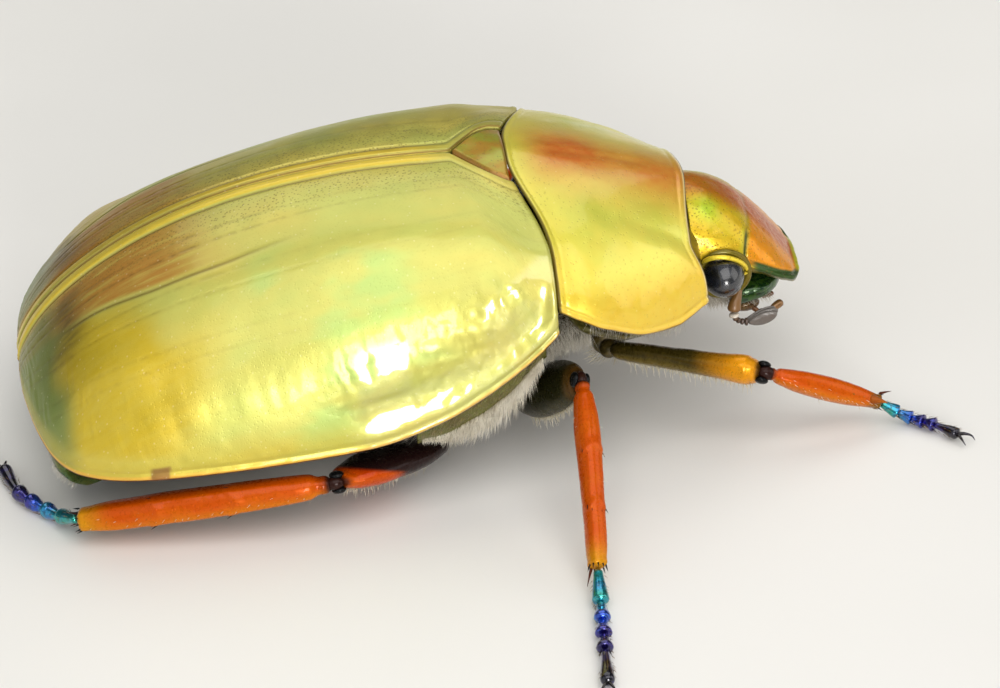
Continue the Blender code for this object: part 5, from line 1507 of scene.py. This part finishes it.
# ---- hairs and bristles ------------------------------------------------------------------------
class Coat:
    """gathers hairs group by group; each group has its own oblong of the bake map, over the skin's own two directions"""

    def __init__(self, name):
        self.piece, self.maps = Piece(name), []

    def grow(self, roots, ways, lengths, thick, places, zone, droop=(0, 0, -1), bend=0.25, rings=4):
        points, blocks, t, per = hairs(roots, ways, lengths, thick, droop, bend, rings)
        self.piece.add(points, blocks, t=t)
        u0, v0, u1, v1 = zone
        self.maps.append(patch_map(np.asarray(places, float) * (u1 - u0, v1 - v0) + (u0, v0), per))
        return self

    def done(self, mat):
        return self.piece.done(mat, None, patches=np.concatenate(self.maps))


def scattered(count, seed):
    """even points in a unit square"""
    n = np.arange(count)
    jitter = np.random.default_rng(seed).random((count, 2))
    return np.stack([(n * 0.7548776662 + 0.10 * jitter[:, 0]) % 1, (n * 0.5698402910 + 0.10 * jitter[:, 1]) % 1], -1)


def skin(place, a, b, outward):
    """points and outward normals of the surface place(a, b)"""
    tiny = 1e-3
    p = place(a, b)
    n = unit(np.cross(place(a + tiny, b) - place(a - tiny, b), place(a, b + tiny) - place(a, b - tiny)))
    return p, n * np.sign(np.sum(n * outward(p), -1))[:, None]


def wild(count, seed):
    return np.random.default_rng(seed).normal(size=(count, 3))


def breast_fringe():
    coat, short = Coat("breast_fringe_hairs"), Coat("breast_plate_hairs")
    for side, zone in ((-1, (0.0, 0.0, 0.48, 0.6)), (1, (0.52, 0.0, 1.0, 0.6))):
        count = 3300
        f = scattered(count, 300 + side)
        x = 1.00 - 4.30 * f[:, 0] ** 1.35
        k = 0.66 + 0.36 * f[:, 1]
        p, n = skin(lambda a, b: side_plate_point(a, b) * (1, side, 1), x, k, lambda p: p * (0, 1, 0) + (0, 0, -0.5))
        way = unit(n * (0.75, 0.60, 0.4) + np.array([-0.42, side * 0.10, -0.62]) + 0.17 * wild(count, 310 + side))
        r = np.random.default_rng(320 + side).random(count)
        long = (0.36 + 0.24 * smooth((k - 0.66) / 0.34)) * (0.55 + 0.35 * r + 0.60 * r ** 5) * (0.55 + 0.45 * smooth((1.1 - x) / 0.9)) * (0.22 + 0.78 * smooth((x + 3.1) / 2.1))
        coat.grow(p - n * 0.03, way, long, 0.0125, f, zone, (-0.5, 0.0, -1.0), 0.35)
        # the short thin hairs on the plate itself
        count = 300
        f = scattered(count, 330 + side)
        x, k = 1.0 - 4.3 * f[:, 0], 0.06 + 0.42 * f[:, 1]
        p, n = skin(lambda a, b: side_plate_point(a, b) * (1, side, 1), x, k, lambda p: p * (0, 1, 0) + (0, 0, -0.5))
        way = unit(n * 0.5 + np.array([-0.7, 0.0, -0.55]) + 0.20 * wild(count, 340 + side))
        short.grow(p - n * 0.02, way, 0.16 + 0.10 * f[::-1, 0], 0.0070, f, zone, (0, 0, -1), 0.25)
    coat.done(HAIR_FRINGE)
    short.done(HAIR_PLATE)


def trunk_under(x, k, values, drop):
    inset, _, keel, power, wall = values
    w = half_width(x) - inset
    z = margin_z(x) - drop
    return np.stack([x, w * k, z - 0.12 - (z - 0.12 - keel) * clamp(1 - np.abs(k) ** power) ** (1 / wall)], -1)


def belly_hairs():
    coat = Coat("belly_hairs")
    away = lambda p: p * (0, 1, 1) - (0, 0, 4.0)
    # the breast: a rather dense downy coat, barer along the middle
    count = 3400
    f = scattered(count, 351)
    k = (f[:, 1] * 2 - 1)
    k = np.sign(k) * (0.16 + 0.80 * np.abs(k))
    x = 1.0 - 4.4 * f[:, 0]
    p, n = skin(lambda a, b: trunk_under(a, b, breast_values(a), 0.15), x, k, away)
    keep = (p[:, 2] > 0.75)
    way = unit(n * 0.7 + np.array([-0.75, 0.0, 0.1]) + 0.22 * wild(count, 352))
    reach = np.minimum(0.55 + 0.25 * f[:, 0], np.maximum(p[:, 2] - 0.1, 0.2))
    coat.grow((p - n * 0.03)[keep], way[keep], reach[keep], 0.0110, f[keep], (0.0, 0.0, 0.48, 0.48), (-1, 0, -0.2), 0.25)
    # the belly: one row of hairs across every plate, and sparse ones between
    xs, ks = [], []
    rng = np.random.default_rng(353)
    for at in (-4.5, -6.2, -8.0, -9.8, -11.6, -13.3):
        xs.append(at + 0.05 * rng.normal(size=260))
        ks.append((np.arange(260) + 0.5) / 130 - 1)
    f = scattered(900, 354)
    x = np.concatenate(xs + [-3.8 - 10.4 * f[:, 0]])
    k = np.concatenate(ks + [f[:, 1] * 2 - 1]) * 0.95
    keel = lambda a: BELLY_Z + 0.9 * clamp((-9.5 - a) / 5.5) ** 2 + 0.72 * smooth((a + 6.4) / 2.8)
    p, n = skin(lambda a, b: trunk_under(a, b, (1.0, 1.0, keel(a), 1.75, 1.0), 0.05), x, k, away)
    way = unit(n * 0.45 + np.array([-1.0, 0.0, 0.05]) + 0.15 * wild(len(x), 355))
    coat.grow(p - n * 0.03, way, 0.30 + 0.12 * rng.random(len(x)), 0.0105, np.stack([(x + 14.4) / 11.0, k * 0.5 + 0.5], -1), (0.52, 0.0, 1.0, 0.48), (-1, 0, -0.2), 0.2)
    coat.done(HAIR_GREY)


def neck_hairs():
    """the tufts at the wing-case corners, under the pronotum and below the head"""
    coat = Coat("neck_hairs")
    for side, left in ((-1, 0.0), (1, 0.5)):
        rng = np.random.default_rng(360 + side)
        # side of the body between the pronotum's corner and the middle hip
        count = 1700
        f = scattered(count, 361 + side)
        p, n = skin(lambda a, b: collar_point(a, b) * (1, side, 1), 0.04 + 0.90 * f[:, 0], 0.45 - 1.75 * f[:, 1], lambda p: p * (0, 1, 1) - (0, 0, 5.05))
        way = unit(n + np.array([-0.25, 0.0, -0.45]) + 0.24 * wild(count, 362 + side))
        coat.grow(p - n * 0.03, way, (0.42 + 0.30 * rng.random(count)) * (1 - 0.35 * f[:, 1]), 0.0110, f, (left, 0.0, left + 0.24, 0.3), (0, 0, -1), 0.3)
        # under the pronotum's side
        count = 1100
        f = scattered(count, 363 + side)
        t = 0.20 + 0.70 * f[:, 0]
        y = pro_half_width(t) * (0.52 + 0.30 * f[:, 1])
        roots = np.stack([pro_x(t, y), side * y, pro_margin_z(t) - 0.34 - 0.55 * (1 - f[:, 1])], -1)
        way = unit(np.stack([-0.25 + 0 * t, side * (0.55 + 0 * t), -0.75 + 0 * t], -1) + 0.22 * wild(count, 364 + side))
        coat.grow(roots, way, 0.40 + 0.25 * rng.random(count), 0.0100, f, (left + 0.25, 0.0, left + 0.49, 0.3), (0, 0, -1), 0.25)
        # cheek, below the eye
        count = 420
        f = scattered(count, 365 + side)
        x = 7.05 + 1.10 * f[:, 0]
        roots = np.stack([x, side * (1.62 + 0.42 * f[:, 1]), 4.62 - 0.55 * (1 - f[:, 1]) + 0 * x], -1)
        way = unit(np.stack([0.35 - 0.3 * f[:, 0], side * (0.55 + 0 * x), -0.85 + 0 * x], -1) + 0.22 * wild(count, 366 + side))
        coat.grow(roots, way, 0.34 + 0.26 * rng.random(count), 0.0110, f, (left, 0.34, left + 0.24, 0.6), (0, 0, -1), 0.2)
        # jaws and palps
        count = 110
        f = scattered(count, 367 + side)
        roots = np.stack([8.5 + 0.9 * f[:, 0], side * (0.9 + 0.65 * f[:, 1]), 3.62 + 0.10 * f[:, 1]], -1)
        way = unit(np.stack([0.55 + 0 * f[:, 0], side * (0.35 + 0 * f[:, 0]), -0.55 + 0 * f[:, 0]], -1) + 0.25 * wild(count, 368 + side))
        coat.grow(roots, way, 0.24 + 0.14 * rng.random(count), 0.0095, f, (left + 0.25, 0.34, left + 0.49, 0.6), (0, 0, -1), 0.2)
    coat.done(HAIR_GREY)


def limb_skin(a, b, q, wide, thick, broad, way):
    """where a leg piece's surface lies in the direction `way` from its axis"""
    axis = unit(b - a)
    first = unit(np.asarray(broad, float) - axis * (np.asarray(broad, float) @ axis))
    second = np.cross(axis, first)
    way = unit(way - (way @ axis)[:, None] * axis)
    c, s = way @ first, way @ second
    return a + (b - a) * q[:, None] + first * (wide * c)[:, None] + second * (thick * s)[:, None], way


def leg_bristles():
    pale, dark = Coat("leg_hairs"), Coat("leg_bristles")
    for number, ((kind, side_name), info) in enumerate(LEGS.items()):
        side, size, thigh, shin, bend = (info[k] for k in ("side", "size", "thigh", "shin", "bend"))
        rng = np.random.default_rng(400 + number)
        u0, v0 = (number % 3) / 3.0, (number // 3) / 2.0
        zone = lambda k: (u0 + 0.01, v0 + 0.12 * k + 0.005, u0 + 0.32, v0 + 0.12 * k + 0.11)
        # femur: two rows along its lower edge and sparse hairs over its lower face
        a, b = info["hip"] + thigh * 0.06, info["knee"] - thigh * 0.10
        broad = unit(np.cross(thigh, (0, 0, 1))) * -side + np.array((0.0, 0.0, -0.30)) if kind == "hind" else np.cross(bend, thigh)

        def femur_at(q, way):
            wide = eased(q, list(zip(FEMUR_STOPS, size["femur"])))
            return limb_skin(a, b, q, wide, np.maximum(wide * size["flat"], 0.24), broad, way)

        down = np.array([0.0, side * 0.62, -0.80]) if kind != "hind" else np.array([0.1, side * 0.35, -0.95])
        rows, bristles = [], {"fore": 30, "mid": 26, "hind": 28}[kind]
        for turn, count, reach in ((0.0, bristles, 0.42), (0.55, bristles - 6, 0.28)):
            q = 0.14 + 0.80 * (np.arange(count) + 0.5 + 0.25 * rng.normal(size=count)) / count
            way = down + turn * np.array([0.1, -side * 0.8, 0.0])
            p, n = femur_at(q, np.broadcast_to(way, (count, 3)) + 0.05 * rng.normal(size=(count, 3)))
            pale.grow(p - n * 0.06, unit(n + thigh * 0.30 + 0.10 * rng.normal(size=(count, 3))), reach * (0.8 + 0.4 * rng.random(count)) * (1.15 - 0.35 * q), 0.0185,
                      np.stack([q, 0.3 + turn * 0.5 + 0 * q], -1), zone(0), (0, 0, -1), 0.12, 5)
        count = 260
        f = scattered(count, 410 + number)
        way = down + np.stack([0.3 * (f[:, 1] - 0.5), side * 1.6 * (f[:, 1] - 0.5), 0 * f[:, 0]], -1)
        p, n = femur_at(0.10 + 0.84 * f[:, 0], way)
        pale.grow(p - n * 0.05, unit(n * 0.8 + thigh * 0.8 + 0.15 * rng.normal(size=(count, 3))), 0.15 + 0.10 * rng.random(count), 0.0085, f, zone(1), (0, 0, -1), 0.2)

        # tibia: short stiff hairs down both edges
        a2, b2 = info["knee"] + shin * 0.06, info["ankle"] - shin * 0.02
        broad2 = np.cross(shin, bend)
        bow = unit(np.cross(shin, bend)) * 0.10 * (0 if kind == "fore" else 1)

        def tibia_at(q, way):
            wide = eased(q, list(zip(TIBIA_STOPS, size["tibia"])))
            p, n = limb_skin(a2, b2, q, wide, np.maximum(wide * 0.80, 0.24), broad2, way)
            return p + bow * np.sin(q * math.pi)[:, None], n

        level = unit(np.cross(shin, (0, 0, 1)))
        for number2, (edge, count) in enumerate(((level, 24), (-level, 24), (np.array([0, 0, -1.0]), 16))):
            q = 0.08 + 0.88 * (np.arange(count) + 0.5 + 0.30 * rng.normal(size=count)) / count
            p, n = tibia_at(clamp(q, 0.05, 0.98), np.broadcast_to(edge, (count, 3)) + 0.22 * rng.normal(size=(count, 3)))
            pale.grow(p - n * 0.05, unit(n * 0.8 + shin * 0.65 + 0.12 * rng.normal(size=(count, 3))), 0.21 * (0.7 + 0.6 * rng.random(count)), 0.0125,
                      np.stack([clamp(q), 0.2 + 0.3 * number2 + 0 * q], -1), zone(2), (0, 0, -1), 0.10, 5)
        count = 40
        q = 0.25 + 0.70 * rng.random(count)
        p, n = tibia_at(q, rng.normal(size=(count, 3)))
        dark.grow(p - n * 0.05, unit(n * 0.6 + shin), 0.13 + 0.05 * rng.random(count), 0.0150, np.stack([q, rng.random(count)], -1), zone(3), (0, 0, -1), 0.05)

        # tarsus: dark setae under and beside every joint
        bone, count = info["bone"], 90
        at = 6 + (rng.random(count) * 186).astype(int)
        way = unit(rng.normal(size=(count, 3)) * (1, 1, 0.5) + (0, 0, 0.05))
        forward = unit(bone[np.minimum(at + 3, 199)] - bone[at - 3])
        way = unit(way - np.sum(way * forward, -1)[:, None] * forward)
        roots = bone[at] + way * size["tarsus"] * 0.72
        roots[:, 2] = np.maximum(roots[:, 2], 0.05)
        run = unit(way * 0.55 + forward)
        run[:, 2] = np.maximum(run[:, 2], -0.05)
        dark.grow(roots, run, 0.16 + 0.08 * rng.random(count), 0.0110, np.stack([at / 200.0, rng.random(count)], -1), zone(3), (0, 0, -1), 0.0)
        # hip
        count = 130
        f = scattered(count, 430 + number)
        reach, wide, thick = size["hip"]
        way0 = unit((0.0, side, 0.0)) if kind == "hind" else unit((-0.10, side, 0.06))
        middle = info["hip"] - way0 * (0.25 + (reach - 0.5) * f[:, 0])[:, None]
        angle = (f[:, 1] - 0.5) * 2.0
        away = np.stack([np.sin(angle), 0 * angle, -np.cos(angle)], -1)
        roots = middle + away * (wide * np.abs(np.sin(angle)) + thick * np.abs(np.cos(angle)))[:, None] * (0.86, 0.86, 0.92)
        lengths = np.minimum(0.25 + 0.15 * rng.random(count), np.maximum(roots[:, 2] - 0.06, 0.08))
        pale.grow(roots, unit(away + (-0.5, side * 0.2, 0.2)), lengths, 0.0100, f, zone(4), (-1, 0, 0), 0.15)
    pale.done(HAIR_PALE)
    dark.done(HAIR_BROWN)


def tail_hairs():
    coat = Coat("tail_hairs")
    count = 520
    f = scattered(count, 451)
    rng = np.random.default_rng(452)
    a = math.pi * (0.08 + 0.84 * f[:, 0])
    y = -5.15 * np.cos(a)
    high, low = 2.52 + 0.48 * np.sin(a), 1.80 - 0.90 * np.sin(a) ** 0.8
    back = -15.30 - 0.72 * np.sin(a) ** 0.6
    g = 0.10 + 0.80 * f[:, 1]
    z = high + (low - high) * g
    x = back - 0.10 * np.sin(g * math.pi) + 0.72 * g ** 2
    way = unit(np.stack([-0.85 + 0 * a, 0.25 * y / 5.0, -0.65 + 0 * a], -1) + 0.15 * rng.normal(size=(count, 3)))
    coat.grow(np.stack([x + 0.04, y, z], -1), way, 0.20 + 0.16 * rng.random(count), 0.0095, f, (0.0, 0.0, 1.0, 0.5), (0, 0, -1), 0.2)
    coat.done(HAIR_GREY)


breast_fringe()
belly_hairs()
neck_hairs()
leg_bristles()
tail_hairs()


# ---- floor, light and camera ------------------------------------------------------------------
def floor():
    mesh = bpy.data.meshes.new("floor")
    size = 1.5
    mesh.from_pydata([(-size, -size, -0.00002), (size, -size, -0.00002), (size, size, -0.00002), (-size, size, -0.00002)], [], [(0, 1, 2, 3)])
    n = Look("floor_pale", Coat_Weight=0.0)
    colour = n.mix(n.span(n.noise(40.0, 3.0), 0.35, 0.65), rgb(226, 224, 219), rgb(232, 230, 226))
    mesh.materials.append(n.finish(colour, n.span(n.noise(8.0), 0.3, 0.7, 0.55, 0.65)))
    obj = bpy.data.objects.new("floor", mesh)
    bpy.context.scene.collection.objects.link(obj)


floor()


def lamp(name, where, at, size, power, colour=(1, 1, 1)):
    data = bpy.data.lights.new(name, "AREA")
    data.shape = "RECTANGLE"
    data.size, data.size_y = size
    data.energy = power
    data.color = colour
    obj = bpy.data.objects.new(name, data)
    bpy.context.scene.collection.objects.link(obj)
    where = Vector(where) * MM
    way = (Vector(at) * MM - where)
    obj.matrix_world = Matrix.Translation(where) @ way.to_track_quat("-Z", "Y").to_matrix().to_4x4()
    return obj


lamp("lamp_top", (40, -160, 300), (0, 0, 4), (0.34, 0.30), 0.71, (1.0, 0.985, 0.96))
lamp("lamp_front", (34, -325, 82), (0, 0, 4), (0.10, 0.105), 0.56, (1.0, 0.98, 0.95))
lamp("lamp_left", (-300, -150, 170), (0, 0, 4), (0.46, 0.40), 0.28, (0.97, 0.99, 1.0))
lamp("lamp_right", (300, -60, 150), (0, 0, 4), (0.22, 0.26), 0.26, (1.0, 0.98, 0.95))
lamp("lamp_back", (10, 184, 288), (0, 0, 4), (0.36, 0.27), 0.44, (1.0, 0.99, 0.96))

world = bpy.data.worlds.new("studio")
bpy.context.scene.world = world
world.use_nodes = True
nodes, links = world.node_tree.nodes, world.node_tree.links
sky, split, spread = nodes.new("ShaderNodeTexCoord"), nodes.new("ShaderNodeSeparateXYZ"), nodes.new("ShaderNodeMapRange")
links.new(sky.outputs["Generated"], split.inputs[0])
links.new(split.outputs[1], spread.inputs[0])
for place, value in enumerate((-0.2, 0.75, 0.0, 1.0), 1):
    spread.inputs[place].default_value = value
lift, both_ways = nodes.new("ShaderNodeMapRange"), nodes.new("ShaderNodeMath")
links.new(split.outputs[2], lift.inputs[0])
for place, value in enumerate((0.12, 0.32, 0.0, 1.0), 1):
    lift.inputs[place].default_value = value
both_ways.operation = "MULTIPLY"
links.new(spread.outputs[0], both_ways.inputs[0])
links.new(lift.outputs[0], both_ways.inputs[1])
shade = nodes.new("ShaderNodeMix")
shade.data_type = "RGBA"
shade.inputs[6].default_value = (0.84, 0.88, 0.92, 1.0)
shade.inputs[7].default_value = (0.10, 0.09, 0.08, 1.0)
links.new(both_ways.outputs[0], shade.inputs[0])
links.new(shade.outputs[2], nodes["Background"].inputs["Color"])
nodes["Background"].inputs["Strength"].default_value = 0.30
bpy.context.scene.view_settings.view_transform = "Standard"

az, el, roll = math.radians(-4), math.radians(33), math.radians(4.5)
target = Vector((-MIDDLE_X * MM, 0.0, 0.002))
back = Vector((math.sin(az) * math.cos(el), -math.cos(az) * math.cos(el), math.sin(el)))
right = Vector((0, 0, 1)).cross(back).normalized()
up = back.cross(right)
right, up = right * math.cos(roll) - up * math.sin(roll), up * math.cos(roll) + right * math.sin(roll)
lens = bpy.data.cameras.new("camera")
lens.sensor_width = 36.0
lens.lens = 174.42
lens.clip_start = 0.005
camera = bpy.data.objects.new("camera", lens)
bpy.context.scene.collection.objects.link(camera)
place = target + back * 0.170
camera.matrix_world = Matrix(((right.x, up.x, back.x, place.x), (right.y, up.y, back.y, place.y),
                              (right.z, up.z, back.z, place.z), (0, 0, 0, 1)))
bpy.context.scene.camera = camera
